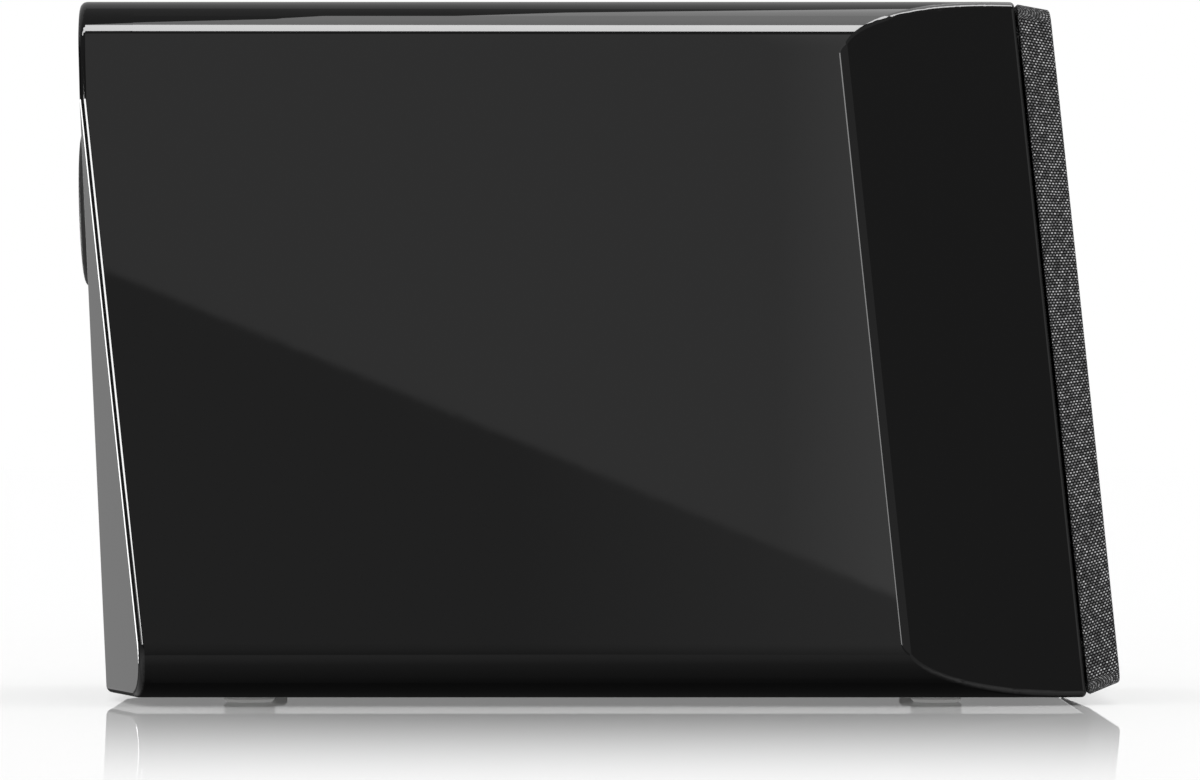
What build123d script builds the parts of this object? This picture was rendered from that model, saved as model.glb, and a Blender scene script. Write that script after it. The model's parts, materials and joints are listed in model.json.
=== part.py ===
from build123d import *

import os
from math import atan2, cos, radians, sin, sqrt, tan

# Bookshelf speaker, in millimetres. Z is up, the grille looks along -Y and X runs across the front.
# The origin is on the floor, under the middle of the overall length and width.

# Cabinet: a box of glued boards whose front and rear both lean back
cabinet_width = 160.0
cabinet_height = 189.6
cabinet_depth = 269.4
front_rake = 6.0
rear_rake = 1.5
wall = 15.0
baffle_thickness = 20.0
rear_thickness = 15.0
edge_radius = 15.0

# Flat cheeks that narrow the front, each with a narrow flat along its ridge, and flat tails that narrow
# the rear toward the floor
cheek_run = 48.4
cheek_inset = 15.0
cheek_round = 2.0
ridge_width = 2.2
front_round = 1.3
tail_run = 13.3
tail_angle = 15.5
tail_round = 2.0

# Inside: a window brace and foam on three walls
brace_setback = 100.0
brace_thickness = 12.0
brace_border = 18.0
pad_thickness = 12.0
pad_width = 100.0
pad_setback = 118.0
pad_end_gap = 16.0

# Rubber feet
foot_height = 2.2
foot_radius = 7.0
foot_chamfer = 0.8
foot_spread = 80.0
foot_setback = 40.0

# Grille: a cloth covered frame on four pegs
grille_gap = 1.2
grille_depth = 8.6
grille_inset = 0.5
grille_bevel = 2.4
grille_corner = 4.0
gusset_corner = 2.0
cloth_thickness = 0.6
grille_rim = 8.5
grille_gusset = 17.0
grille_bar_width = 5.0
grille_bar_depth = 3.0
peg_radius = 3.0
peg_length = 9.0
peg_tip = 0.8
peg_shoulder_radius = 5.0
peg_inset = 11.5
socket_radius = 5.0
socket_depth = 12.0
socket_floor = 1.0

# Drivers: the tweeter hangs from the top edge of the front and the woofer fills the share of height below it
tweeter_drop = 38.0
driver_gap = 5.0
woofer_share = 0.3575

# Woofer, with its rings taken in from the rim of the flange
woofer_flange_thickness = 3.5
woofer_gasket_thickness = 1.0
woofer_hole_inset = 7.0
woofer_screw_inset = 3.1
woofer_screw_count = 6
woofer_screw_length = 15.0
basket_wall = 2.0
basket_wall_inset = 9.0
basket_neck_inset = 18.0
basket_back_inset = 16.0
basket_back_thickness = 2.0
basket_depth = 36.0
basket_window_width = 24.0
basket_window_margin = 2.5
basket_window_count = 6
cone_inset = 18.0
cone_rim_depth = 1.35
cone_depth = 15.2
cone_thickness = 0.9
surround_seat_inset = 6.0
surround_seat_depth = 1.2
surround_roll = 8.0
surround_lip = 2.8
surround_thickness = 0.7
dust_cap_radius = 16.5
dust_cap_height = 5.5
dust_cap_thickness = 0.6
pole_radius = 12.0
pole_vent_radius = 3.5
coil_gap = 0.5
former_wall = 0.3
former_length = 29.0
winding_thickness = 0.55
winding_length = 9.0
plate_gap = 0.6
top_plate_inset = 20.0
top_plate_thickness = 5.0
magnet_inset = 16.0
magnet_bore_radius = 20.0
magnet_thickness = 14.0
back_plate_thickness = 5.0
spider_flat = 3.0
spider_seat_depth = 22.5
spider_shelf_thickness = 1.5
spider_thickness = 0.5
spider_wave_height = 1.2
spider_half_waves = 6
woofer_ear_margin = 1.5
woofer_ear_width = 14.0
strip_length = 7.0
strip_width = 12.0
strip_thickness = 2.0
woofer_tab_spacing = 6.4
woofer_tab_width = 4.8
woofer_tab_length = 8.0

# Tweeter
faceplate_radius = 29.0
faceplate_thickness = 4.0
faceplate_boss = 2.0
tweeter_motor_radius = 19.5
tweeter_hole_radius = 20.2
tweeter_gasket_thickness = 1.0
tweeter_screw_circle = 24.6
tweeter_screw_count = 4
tweeter_screw_length = 13.0
throat_radius = 15.9
throat_depth = 5.0
horn_radius = 20.5
dome_radius = 12.4
dome_height = 4.2
dome_thickness = 0.35
dome_base_depth = 5.6
tweeter_lip_radius = 15.8
tweeter_roll = 1.9
tweeter_roll_height = 0.9
tweeter_surround_thickness = 0.4
tweeter_coil_gap = 0.35
tweeter_former_wall = 0.2
tweeter_former_length = 5.0
tweeter_winding_thickness = 0.45
tweeter_winding_length = 3.0
tweeter_pole_radius = 11.4
tweeter_vent_radius = 2.5
tweeter_plate_thickness = 3.0
tweeter_magnet_thickness = 5.0
tweeter_magnet_bore_radius = 14.0
tweeter_back_thickness = 3.0
rear_cup_radius = 17.0
rear_cup_depth = 10.0
rear_cup_wall = 1.5
tweeter_tab_spacing = 14.0
tweeter_tab_width = 3.2
tweeter_tab_length = 6.0
tab_thickness = 0.8

# Reflex port, hung from the top edge of the rear board
port_drop = 54.6
port_radius = 16.0
port_wall = 2.0
port_length = 95.0
port_flange_radius = 22.5
port_lip = 5.0
port_lip_round = 2.5
port_flare_depth = 6.0

# Terminal cup and its two binding posts
terminal_height = 48.0
cup_flange_width = 66.0
cup_flange_height = 54.0
cup_flange_thickness = 2.5
cup_flange_corner = 6.0
cup_body_width = 56.0
cup_body_height = 44.0
cup_body_corner = 5.0
cup_wall = 2.0
cup_depth = 24.0
cup_gasket_thickness = 1.0
cup_screw_inset = 4.6
cup_screw_length = 11.0
post_spacing = 19.0
stud_radius = 3.0
stud_setback = 0.5
stud_tail = 9.5
stud_bore_radius = 2.0
stud_bore_depth = 16.0
stud_cross_radius = 1.25
stud_cross_depth = 18.3
collar_radius = 7.2
collar_thickness = 1.5
washer_radius = 5.8
washer_thickness = 1.0
cap_radius = 6.8
cap_setback = 0.5
cap_chamfer = 0.9
cap_flute_radius = 0.7
cap_flute_count = 18
cap_rim = 2.0
lock_nut_radius = 5.8
lock_nut_thickness = 4.0
tag_radius = 5.5
tag_tail_width = 4.0
tag_tail_reach = 16.0

# Crossover board, its parts and the leads
board_width = 84.0
board_length = 64.0
board_thickness = 1.6
board_setback = 154.0
board_hole_inset = 5.0
board_screw_length = 16.0
standoff_height = 6.0
standoff_radius = 3.5
big_coil_radius = 16.0
big_coil_bore_radius = 7.0
big_coil_height = 14.0
small_coil_radius = 10.0
small_coil_bore_radius = 4.5
small_coil_height = 11.0
capacitor_radius = 7.5
capacitor_length = 26.0
resistor_length = 22.0
resistor_width = 7.0
resistor_height = 8.0
lead_radius = 1.1
lead_bend = 14.0
lead_straight = 16.0

# Fasteners and clearances
screw_head_radius = 2.4
screw_head_height = 1.6
screw_crown_radius = 1.5
screw_shank_radius = 1.5
screw_cross_width = 0.7
screw_cross_depth = 0.9
edge_break = 0.5
rebate_gap = 0.3
hole_gap = 0.05
glue_gap = 0.2
peg_gap = 0.1
lead_gap = 4.0

# Values that follow from the sizes above
rake = radians(front_rake)
tilt = radians(rear_rake)
tail_slope = tan(radians(tail_angle))
baffle_height = cabinet_height / cos(rake)
baffle_width = cabinet_width - 2 * cheek_inset
side_run = cabinet_depth - tail_run
pad_length = cabinet_depth - rear_thickness - pad_setback - pad_end_gap
tweeter_height = baffle_height - tweeter_drop
tweeter_foot = tweeter_height - faceplate_radius
woofer_flange_radius = woofer_share * tweeter_height
woofer_height = tweeter_foot - driver_gap - woofer_flange_radius
woofer_hole_radius = woofer_flange_radius - woofer_hole_inset
woofer_screw_circle = woofer_flange_radius - woofer_screw_inset
basket_wall_radius = woofer_flange_radius - basket_wall_inset
basket_neck_radius = woofer_flange_radius - basket_neck_inset
basket_back_radius = woofer_flange_radius - basket_back_inset
cone_radius = woofer_flange_radius - cone_inset
surround_seat_radius = woofer_flange_radius - surround_seat_inset
top_plate_radius = woofer_flange_radius - top_plate_inset
magnet_radius = woofer_flange_radius - magnet_inset
spider_radius = basket_neck_radius - basket_wall
woofer_ear_reach = woofer_hole_radius - woofer_ear_margin
woofer_tab_reach = woofer_ear_reach - strip_length / 2
port_height = cabinet_height / cos(tilt) - port_drop
grille_width = baffle_width - 2 * grille_inset
grille_height = baffle_height - 2 * grille_inset
grille_front = grille_gap + grille_depth
port_crest_radius = port_flange_radius - port_lip_round
front_reach = grille_front * cos(rake) - (grille_inset + grille_bevel) * sin(rake)
rear_reach = (port_height + port_crest_radius) * sin(tilt)
rear_reach += (port_lip - port_lip_round) * cos(tilt) + port_lip_round
y_front = (front_reach - cabinet_depth - rear_reach) / 2
z_base = foot_height
z_top = z_base + cabinet_height
half_width = cabinet_width / 2
inner_half_width = half_width - wall
z_floor = z_base + wall
z_ceiling = z_top - wall


def shifted(plane, x, y, out=0.0):
    """The same plane with its origin moved in its own directions."""
    return Plane(plane.location * Pos(x, y, out))


front = Plane(origin=(0, y_front, z_base), x_dir=(1, 0, 0), z_dir=(0, -cos(rake), sin(rake)))
rear = Plane(origin=(0, y_front + cabinet_depth, z_base), x_dir=(-1, 0, 0), z_dir=(0, cos(tilt), -sin(tilt)))
woofer = shifted(front, 0, woofer_height)
tweeter = shifted(front, 0, tweeter_height)
port = shifted(rear, 0, port_height)
terminal = shifted(rear, 0, terminal_height)
board = Plane(origin=(0, y_front + board_setback, z_floor + standoff_height))
board_top = shifted(board, 0, 0, board_thickness)


def outline_face(steps):
    """A closed outline in radius and height; a pair of points is an arc through the first to the second."""
    edges = []
    here = steps[0]
    for step in list(steps[1:]) + [steps[0]]:
        if isinstance(step[0], tuple):
            via, end = step
            edges.append(ThreePointArc((here[0], 0, here[1]), (via[0], 0, via[1]), (end[0], 0, end[1])))
        else:
            end = step
            edges.append(Line((here[0], 0, here[1]), (end[0], 0, end[1])))
        here = end
    return make_face(edges)


def turned(where, *steps):
    """An outline turned about the plane's normal."""
    return where.location * revolve(outline_face(steps), Axis.Z)


def ring(where, inner, outer, low, high):
    """A flat ring, or a disc when the inner radius is zero."""
    return turned(where, (inner, low), (outer, low), (outer, high), (inner, high))


def block(where, width, height, low, high, corner=0.0):
    """A rectangle of the plane, with its corners rounded if asked, from one height to another."""
    shape = RectangleRounded(width, height, corner) if corner else Rectangle(width, height)
    return shifted(where, 0, 0, low).location * extrude(shape, amount=high - low)


def around(where, radius, count, start=0.0):
    """Planes spread round a circle, each with its x direction pointing outward."""
    turns = [start + 360 * i / count for i in range(count)]
    return [Plane(where.location * Rot(0, 0, turn) * Pos(radius, 0, 0)) for turn in turns]


def dome_arc(radius, height, base):
    """Middle point and tip of the arc that rises from a rim to the axis of a round cap."""
    sphere = (radius**2 + height**2) / (2 * height)
    half = radius / 2
    return (half, base + height - sphere + sqrt(sphere**2 - half**2)), (0, base + height)


def group(*solids):
    """Separate solids that share one node."""
    return Compound(children=list(solids))


def screw(where, length):
    """A round headed wood screw with a cross recess; the head sits on the plane."""
    cone = 2 * screw_shank_radius
    body = turned(
        where,
        (0, screw_head_height),
        (screw_crown_radius, screw_head_height),
        (screw_head_radius, screw_head_height / 2),
        (screw_head_radius, 0),
        (screw_shank_radius, 0),
        (screw_shank_radius, cone - length),
        (0, -length),
    )
    low = screw_head_height - screw_cross_depth
    cross_length = 2 * screw_crown_radius
    for width, height in ((cross_length, screw_cross_width), (screw_cross_width, cross_length)):
        body -= block(where, width, height, low, screw_head_height)
    return body


def pilot(where, length):
    """The hole that a screw of this length leaves in a board."""
    radius = screw_shank_radius + hole_gap
    return ring(where, 0, radius, -length - hole_gap, screw_head_height)


woofer_screw_planes = around(woofer, woofer_screw_circle, woofer_screw_count, 30)
tweeter_screw_planes = around(tweeter, tweeter_screw_circle, tweeter_screw_count, 45)
peg_x = baffle_width / 2 - peg_inset
peg_planes = [
    shifted(front, side * peg_x, height)
    for side in (-1, 1)
    for height in (peg_inset, baffle_height - peg_inset)
]
cup_screw_planes = [
    shifted(
        terminal,
        x * (cup_flange_width / 2 - cup_screw_inset),
        y * (cup_flange_height / 2 - cup_screw_inset),
        -screw_head_height,
    )
    for x in (-1, 1)
    for y in (-1, 1)
]
board_corner_planes = [
    shifted(board_top, x * (board_width / 2 - board_hole_inset), y * (board_length / 2 - board_hole_inset))
    for x in (-1, 1)
    for y in (-1, 1)
]


def lies_on(edge, point, normal):
    """True when the whole edge is in the plane through the point."""
    return all(abs((edge @ t - Vector(*point)).dot(Vector(*normal).normalized())) < 1e-4 for t in (0, 0.5, 1))


def cabinet_outside():
    """The whole cabinet as one solid block with its cheeks, tails and rounded edges."""
    rear_base = y_front + cabinet_depth
    profile = Polyline(
        (0, y_front, z_base),
        (0, rear_base, z_base),
        (0, rear_base + cabinet_height * tan(tilt), z_top),
        (0, y_front + cabinet_height * tan(rake), z_top),
        close=True,
    )
    body = extrude(make_face(profile), amount=half_width, dir=(1, 0, 0), both=True)
    body = fillet(body.edges().filter_by(Axis.Y), edge_radius)
    ridge_lean = atan2(cheek_inset, cheek_run) / 2
    cheeks = []
    tails = []
    for side in (-1, 1):
        cheek = ((side * half_width, y_front + cheek_run, z_base),
                 (side * cheek_run, -cheek_inset, cheek_inset * tan(rake)))
        ridge = ((side * half_width, y_front + cheek_run + ridge_width / 2, z_base),
                 (side, -tan(ridge_lean), tan(ridge_lean) * tan(rake)))
        tail = ((side * half_width, y_front + side_run, z_base), (side * tail_slope, 1, -tan(rake)))
        for origin, normal in (cheek, ridge, tail):
            body = split(body, Plane(origin=origin, z_dir=normal), keep=Keep.BOTTOM)
        cheeks += [cheek, ridge]
        tails.append(tail)
    rear_plane = ((0, rear_base, z_base), rear.z_dir)
    front_plane = ((0, y_front, z_base), front.z_dir)
    back_edges = [e for e in body.edges() if any(lies_on(e, *p) for p in tails + [rear_plane])]
    body = fillet(back_edges, tail_round)
    ridge_edges = [
        e for e in body.edges() if any(lies_on(e, *p) for p in cheeks) and not lies_on(e, *front_plane)
    ]
    body = fillet(ridge_edges, cheek_round)
    return fillet([e for e in body.edges() if lies_on(e, *front_plane)], front_round)


def cabinet_boards():
    """The boards of the cabinet: front, rear and four mitred walls."""
    outside = cabinet_outside()
    baffle_back = shifted(front, 0, 0, -baffle_thickness)
    rear_front = shifted(rear, 0, 0, -rear_thickness)
    baffle = split(outside, baffle_back, keep=Keep.TOP)
    middle = split(outside, baffle_back, keep=Keep.BOTTOM)
    back = split(middle, rear_front, keep=Keep.TOP)
    tube = split(middle, rear_front, keep=Keep.BOTTOM)
    reach = 2 * cabinet_depth
    cavity_height = z_ceiling - z_floor
    cavity = Pos(0, 0, (z_floor + z_ceiling) / 2) * Box(2 * inner_half_width, reach, cavity_height)
    tube -= cavity
    mitre = 2 * wall

    def wedge(z_inner, direction):
        face = Polyline(
            (-inner_half_width, 0, z_inner),
            (inner_half_width, 0, z_inner),
            (inner_half_width + mitre, 0, z_inner + direction * mitre),
            (-inner_half_width - mitre, 0, z_inner + direction * mitre),
            close=True,
        )
        return extrude(make_face(face), amount=cabinet_depth, dir=(0, 1, 0), both=True)

    top = tube & wedge(z_ceiling, 1)
    bottom = tube & wedge(z_floor, -1)
    sides = tube - wedge(z_ceiling, 1) - wedge(z_floor, -1)
    left = split(sides, Plane.YZ, keep=Keep.BOTTOM)
    right = split(sides, Plane.YZ, keep=Keep.TOP)
    return baffle, back, top, bottom, left, right


def drill_baffle(baffle):
    """Rebates, holes and pilot holes for the two drivers and the grille sockets."""
    woofer_rebate = woofer_flange_thickness + woofer_gasket_thickness
    tweeter_rebate = faceplate_thickness + tweeter_gasket_thickness
    baffle -= ring(woofer, 0, woofer_flange_radius + rebate_gap, -woofer_rebate, grille_gap)
    baffle -= ring(woofer, 0, woofer_hole_radius, -2 * baffle_thickness, 0)
    baffle -= ring(tweeter, 0, faceplate_radius + rebate_gap, -tweeter_rebate, grille_gap)
    baffle -= ring(tweeter, 0, tweeter_hole_radius, -2 * baffle_thickness, 0)
    for where in woofer_screw_planes:
        baffle -= pilot(where, woofer_screw_length)
    for where in tweeter_screw_planes:
        baffle -= pilot(where, tweeter_screw_length)
    for where in peg_planes:
        baffle -= ring(where, 0, socket_radius, -socket_depth, grille_gap)
    return baffle


def drill_back(back):
    """Holes for the port tube, the terminal cup and its screws."""
    back -= ring(port, 0, port_radius + port_wall + rebate_gap, -2 * rear_thickness, rear_thickness)
    rebate = cup_flange_thickness + cup_gasket_thickness
    back -= block(
        terminal, cup_flange_width + 2 * rebate_gap, cup_flange_height + 2 * rebate_gap, -rebate,
        rear_thickness,
        cup_flange_corner + rebate_gap,
    )
    back -= block(
        terminal, cup_body_width + 2 * rebate_gap, cup_body_height + 2 * rebate_gap, -2 * rear_thickness, 0,
        cup_body_corner + rebate_gap,
    )
    for where in cup_screw_planes:
        back -= pilot(where, cup_screw_length)
    return back


def brace():
    """A board across the cabinet with one large window."""
    height = z_ceiling - z_floor
    plate = Box(2 * inner_half_width, brace_thickness, height)
    plate -= Box(2 * (woofer_tab_reach + lead_gap), 2 * brace_thickness, height - 2 * brace_border)
    return Pos(0, y_front + brace_setback + brace_thickness / 2, (z_floor + z_ceiling) / 2) * plate


def damping_pads():
    """Foam sheets glued to the left wall, the right wall and the ceiling."""
    y_middle = y_front + pad_setback + pad_length / 2
    z_middle = (z_floor + z_ceiling) / 2
    x_middle = inner_half_width - pad_thickness / 2
    upright = Box(pad_thickness, pad_length, pad_width)
    flat = Box(pad_width / 2, pad_length, pad_thickness)
    left = Pos(-x_middle, y_middle, z_middle) * upright
    right = Pos(x_middle, y_middle, z_middle) * upright
    return left, right, Pos(0, y_middle, z_ceiling - pad_thickness / 2) * flat


def feet():
    """Four low rubber feet under the bottom board."""
    steps = (
        (0, 0),
        (foot_radius - foot_chamfer, 0),
        (foot_radius, foot_chamfer),
        (foot_radius, foot_height),
        (0, foot_height),
    )
    places = [
        Plane(origin=(side * foot_spread / 2, y, 0))
        for side in (-1, 1)
        for y in (y_front + foot_setback, y_front + cabinet_depth - foot_setback)
    ]
    return group(*[turned(place, *steps) for place in places])


def grille_block(skin):
    """The tapered block of the grille, taken in from its sides and its front by a skin thickness."""
    width = grille_width - 2 * skin
    height = grille_height - 2 * skin
    shift = grille_bevel * (1 - skin / grille_depth)
    middle = shifted(front, 0, baffle_height / 2, grille_gap)
    low = RectangleRounded(width, height, grille_corner)
    high = RectangleRounded(width - 2 * shift, height - 2 * shift, grille_corner)
    high = Pos(0, 0, grille_depth - skin) * high
    return middle.location * loft([low, high])


def grille():
    """The frame with its corner gussets and cross bar, the cloth over it and the four pegs."""
    inside = grille_block(cloth_thickness)
    cloth = grille_block(0) - inside
    middle = shifted(front, 0, baffle_height / 2, 0)
    opening_width = grille_width - 2 * (cloth_thickness + grille_rim)
    opening_height = grille_height - 2 * (cloth_thickness + grille_rim)
    opening = block(middle, opening_width, opening_height, 0, 2 * grille_front)
    for x in (-1, 1):
        for y in (-1, 1):
            corner = shifted(middle, x * opening_width / 2, y * opening_height / 2)
            opening -= block(corner, grille_gusset, grille_gusset, 0, 2 * grille_front, gusset_corner)
    bar_top = grille_front - cloth_thickness
    bar = shifted(front, 0, tweeter_foot - driver_gap / 2)
    opening -= block(bar, opening_width, grille_bar_width, bar_top - grille_bar_depth, bar_top)
    frame = inside - opening
    pegs = [
        turned(
            where,
            (0, grille_gap),
            (peg_shoulder_radius, grille_gap),
            (peg_shoulder_radius, 0),
            (peg_radius, 0),
            (peg_radius, peg_tip - peg_length),
            (peg_radius - peg_tip, -peg_length),
            (0, -peg_length),
        )
        for where in peg_planes
    ]
    sockets = [
        turned(
            where,
            (0, -socket_depth),
            (socket_radius, -socket_depth),
            (socket_radius, 0),
            (peg_radius + peg_gap, 0),
            (peg_radius + peg_gap, socket_floor - socket_depth),
            (0, socket_floor - socket_depth),
        )
        for where in peg_planes
    ]
    return frame, cloth, group(*pegs), group(*sockets)


former_inner = pole_radius + coil_gap
former_outer = former_inner + former_wall
winding_outer = former_outer + winding_thickness
cone_neck_radius = former_outer + glue_gap
plate_front = -basket_depth
plate_back = plate_front - top_plate_thickness
magnet_back = plate_back - magnet_thickness
winding_middle = plate_front - top_plate_thickness / 2


def cone_front(radius):
    """Depth of the cone's front face at a radius."""
    return -cone_rim_depth - cone_depth * (cone_radius - radius) / (cone_radius - cone_neck_radius)


def woofer_basket():
    """The woofer's frame: flange, windowed wall, spider shelf, back ring and a lug for the terminals."""
    wall_inner = basket_wall_radius - basket_wall
    low = basket_back_thickness - basket_depth
    body = turned(
        woofer,
        (wall_inner, -woofer_flange_thickness),
        (woofer_flange_radius, -woofer_flange_thickness),
        (woofer_flange_radius, -edge_break),
        (woofer_flange_radius - edge_break, 0),
        (surround_seat_radius + hole_gap, 0),
        (surround_seat_radius + hole_gap, -surround_seat_depth),
        (wall_inner, -surround_seat_depth),
    )
    body += turned(
        woofer,
        (wall_inner, -woofer_flange_thickness),
        (basket_wall_radius, -woofer_flange_thickness),
        (basket_neck_radius, low),
        (basket_neck_radius - basket_wall, low),
    )
    drop = (spider_seat_depth - woofer_flange_thickness) / (basket_depth - basket_back_thickness
                                                            - woofer_flange_thickness)
    shelf_outer = basket_wall_radius - basket_wall / 2 - drop * (basket_wall_radius - basket_neck_radius)
    shelf_low = -spider_seat_depth - spider_shelf_thickness
    body += ring(woofer, spider_radius - spider_flat, shelf_outer, shelf_low, -spider_seat_depth)
    body += ring(woofer, winding_outer + 2 * plate_gap, basket_back_radius, -basket_depth, low)
    ear = shifted(woofer, (basket_neck_radius + woofer_ear_reach) / 2, 0)
    body += block(ear, woofer_ear_reach - basket_neck_radius, woofer_ear_width, -basket_depth, low)
    spans = (
        (basket_window_margin - spider_seat_depth, -woofer_flange_thickness - basket_window_margin),
        (low + basket_window_margin, shelf_low - basket_window_margin / 2),
    )
    for where in around(woofer, basket_wall_radius, basket_window_count):
        for below, above in spans:
            body -= block(where, basket_wall_radius - magnet_bore_radius, basket_window_width, below, above)
    for where in woofer_screw_planes:
        body -= ring(where, 0, screw_shank_radius + hole_gap, -woofer_flange_thickness, 0)
    return body


def woofer_motor():
    """Front plate, ring magnet, and back plate with its vented pole."""
    plate = ring(woofer, winding_outer + plate_gap, top_plate_radius, plate_back, plate_front)
    magnet = ring(woofer, magnet_bore_radius, magnet_radius, magnet_back, plate_back)
    yoke_back = magnet_back - back_plate_thickness
    yoke = turned(
        woofer,
        (pole_vent_radius, yoke_back),
        (top_plate_radius, yoke_back),
        (top_plate_radius, magnet_back),
        (pole_radius, magnet_back),
        (pole_radius, plate_front),
        (pole_vent_radius, plate_front),
    )
    return plate, magnet, yoke


def woofer_diaphragm():
    """Cone, dust cap, coil former and winding, which move together."""
    neck = cone_front(cone_neck_radius)
    cone = turned(
        woofer,
        (cone_radius, cone_front(cone_radius)),
        (cone_neck_radius, neck),
        (cone_neck_radius, neck - cone_thickness),
        (cone_radius, cone_front(cone_radius) - cone_thickness),
    )
    rim = cone_front(dust_cap_radius) + hole_gap
    inner = dust_cap_radius - dust_cap_thickness
    inner_rim = cone_front(inner) + hole_gap
    outer_via, outer_tip = dome_arc(dust_cap_radius, dust_cap_height, rim)
    inner_via, inner_tip = dome_arc(inner, outer_tip[1] - dust_cap_thickness - inner_rim, inner_rim)
    cap_face = make_face([
        ThreePointArc((dust_cap_radius, 0, rim), (outer_via[0], 0, outer_via[1]), (0, 0, outer_tip[1])),
        Line((0, 0, outer_tip[1]), (0, 0, inner_tip[1])),
        ThreePointArc((0, 0, inner_tip[1]), (inner_via[0], 0, inner_via[1]), (inner, 0, inner_rim)),
        Line((inner, 0, inner_rim), (dust_cap_radius, 0, rim)),
    ])
    dust_cap = woofer.location * revolve(cap_face, Axis.Z)
    former = ring(woofer, former_inner, former_outer, neck - former_length, neck)
    winding = ring(
        woofer, former_outer + hole_gap, winding_outer,
        winding_middle - winding_length / 2, winding_middle + winding_length / 2,
    )
    return cone, dust_cap, former, winding


def woofer_surround():
    """The rubber half roll between the cone's rim and the frame."""
    roll_outer = cone_radius + surround_roll
    middle = cone_radius + surround_roll / 2
    crest = cone_front(cone_radius) + surround_roll / 2
    lip = cone_radius - surround_lip
    top = surround_thickness + glue_gap
    return turned(
        woofer,
        (lip, cone_front(lip) + glue_gap),
        (cone_radius, cone_front(cone_radius) + glue_gap),
        ((middle, crest), (roll_outer, -surround_seat_depth)),
        (surround_seat_radius, -surround_seat_depth),
        (surround_seat_radius, surround_thickness - surround_seat_depth),
        (roll_outer + surround_thickness, surround_thickness - surround_seat_depth),
        ((middle, crest + surround_thickness), (cone_radius - top, cone_front(cone_radius - top) + top)),
        (lip, cone_front(lip) + top),
    )


def woofer_spider():
    """The corrugated disc that centres the coil, resting on the frame's shelf."""
    start = spider_radius - spider_flat
    stop = former_outer + glue_gap
    step = (start - stop) / spider_half_waves
    low = -spider_seat_depth
    high = low + spider_thickness

    def waves(level, inward):
        arcs = []
        for i in range(spider_half_waves):
            index = i if inward else spider_half_waves - 1 - i
            rise = spider_wave_height if index % 2 == 0 else -spider_wave_height
            end = index + 1 if inward else index
            arcs.append(((start - step * (index + 0.5), level + rise), (start - step * end, level)))
        return arcs

    return turned(
        woofer, (spider_radius, low), (start, low), *waves(low, True), (stop, high), *waves(high, False),
        (spider_radius, high),
    )


def woofer_terminals():
    """The terminal strip on the frame's lug and its two blades."""
    where = shifted(woofer, woofer_tab_reach, 0)
    strip_back = -basket_depth - strip_thickness
    strip = block(where, strip_length, strip_width, strip_back, -basket_depth)
    tabs = [
        block(
            shifted(where, 0, side * woofer_tab_spacing / 2), tab_thickness, woofer_tab_width,
            strip_back - woofer_tab_length, strip_back,
        )
        for side in (-1, 1)
    ]
    return strip, group(*tabs)


seat_back = -faceplate_thickness - faceplate_boss
tweeter_plate_back = seat_back - tweeter_plate_thickness
tweeter_magnet_back = tweeter_plate_back - tweeter_magnet_thickness
tweeter_back = tweeter_magnet_back - tweeter_back_thickness
tweeter_former_inner = tweeter_pole_radius + tweeter_coil_gap
tweeter_former_outer = tweeter_former_inner + tweeter_former_wall
tweeter_winding_outer = tweeter_former_outer + tweeter_winding_thickness


def tweeter_faceplate():
    """The round front plate with a shallow horn and a boss that seats on the motor."""
    plate = turned(
        tweeter,
        (horn_radius, 0),
        (faceplate_radius - edge_break, 0),
        (faceplate_radius, -edge_break),
        (faceplate_radius, -faceplate_thickness),
        (tweeter_motor_radius, -faceplate_thickness),
        (tweeter_motor_radius, seat_back),
        (throat_radius, seat_back),
        (throat_radius, -throat_depth),
    )
    for where in tweeter_screw_planes:
        plate -= ring(where, 0, screw_shank_radius + hole_gap, -faceplate_thickness, 0)
    return plate


def tweeter_motor():
    """Front plate, ring magnet, and back plate with its vented pole."""
    bore = tweeter_winding_outer + tweeter_coil_gap
    plate = ring(tweeter, bore, tweeter_motor_radius, tweeter_plate_back, seat_back)
    magnet = ring(
        tweeter, tweeter_magnet_bore_radius, tweeter_motor_radius, tweeter_magnet_back, tweeter_plate_back,
    )
    yoke = turned(
        tweeter,
        (tweeter_vent_radius, tweeter_back),
        (tweeter_motor_radius, tweeter_back),
        (tweeter_motor_radius, tweeter_magnet_back),
        (tweeter_pole_radius, tweeter_magnet_back),
        (tweeter_pole_radius, seat_back - tweeter_coil_gap),
        (tweeter_vent_radius, seat_back - tweeter_coil_gap),
    )
    return plate, magnet, yoke


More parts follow.
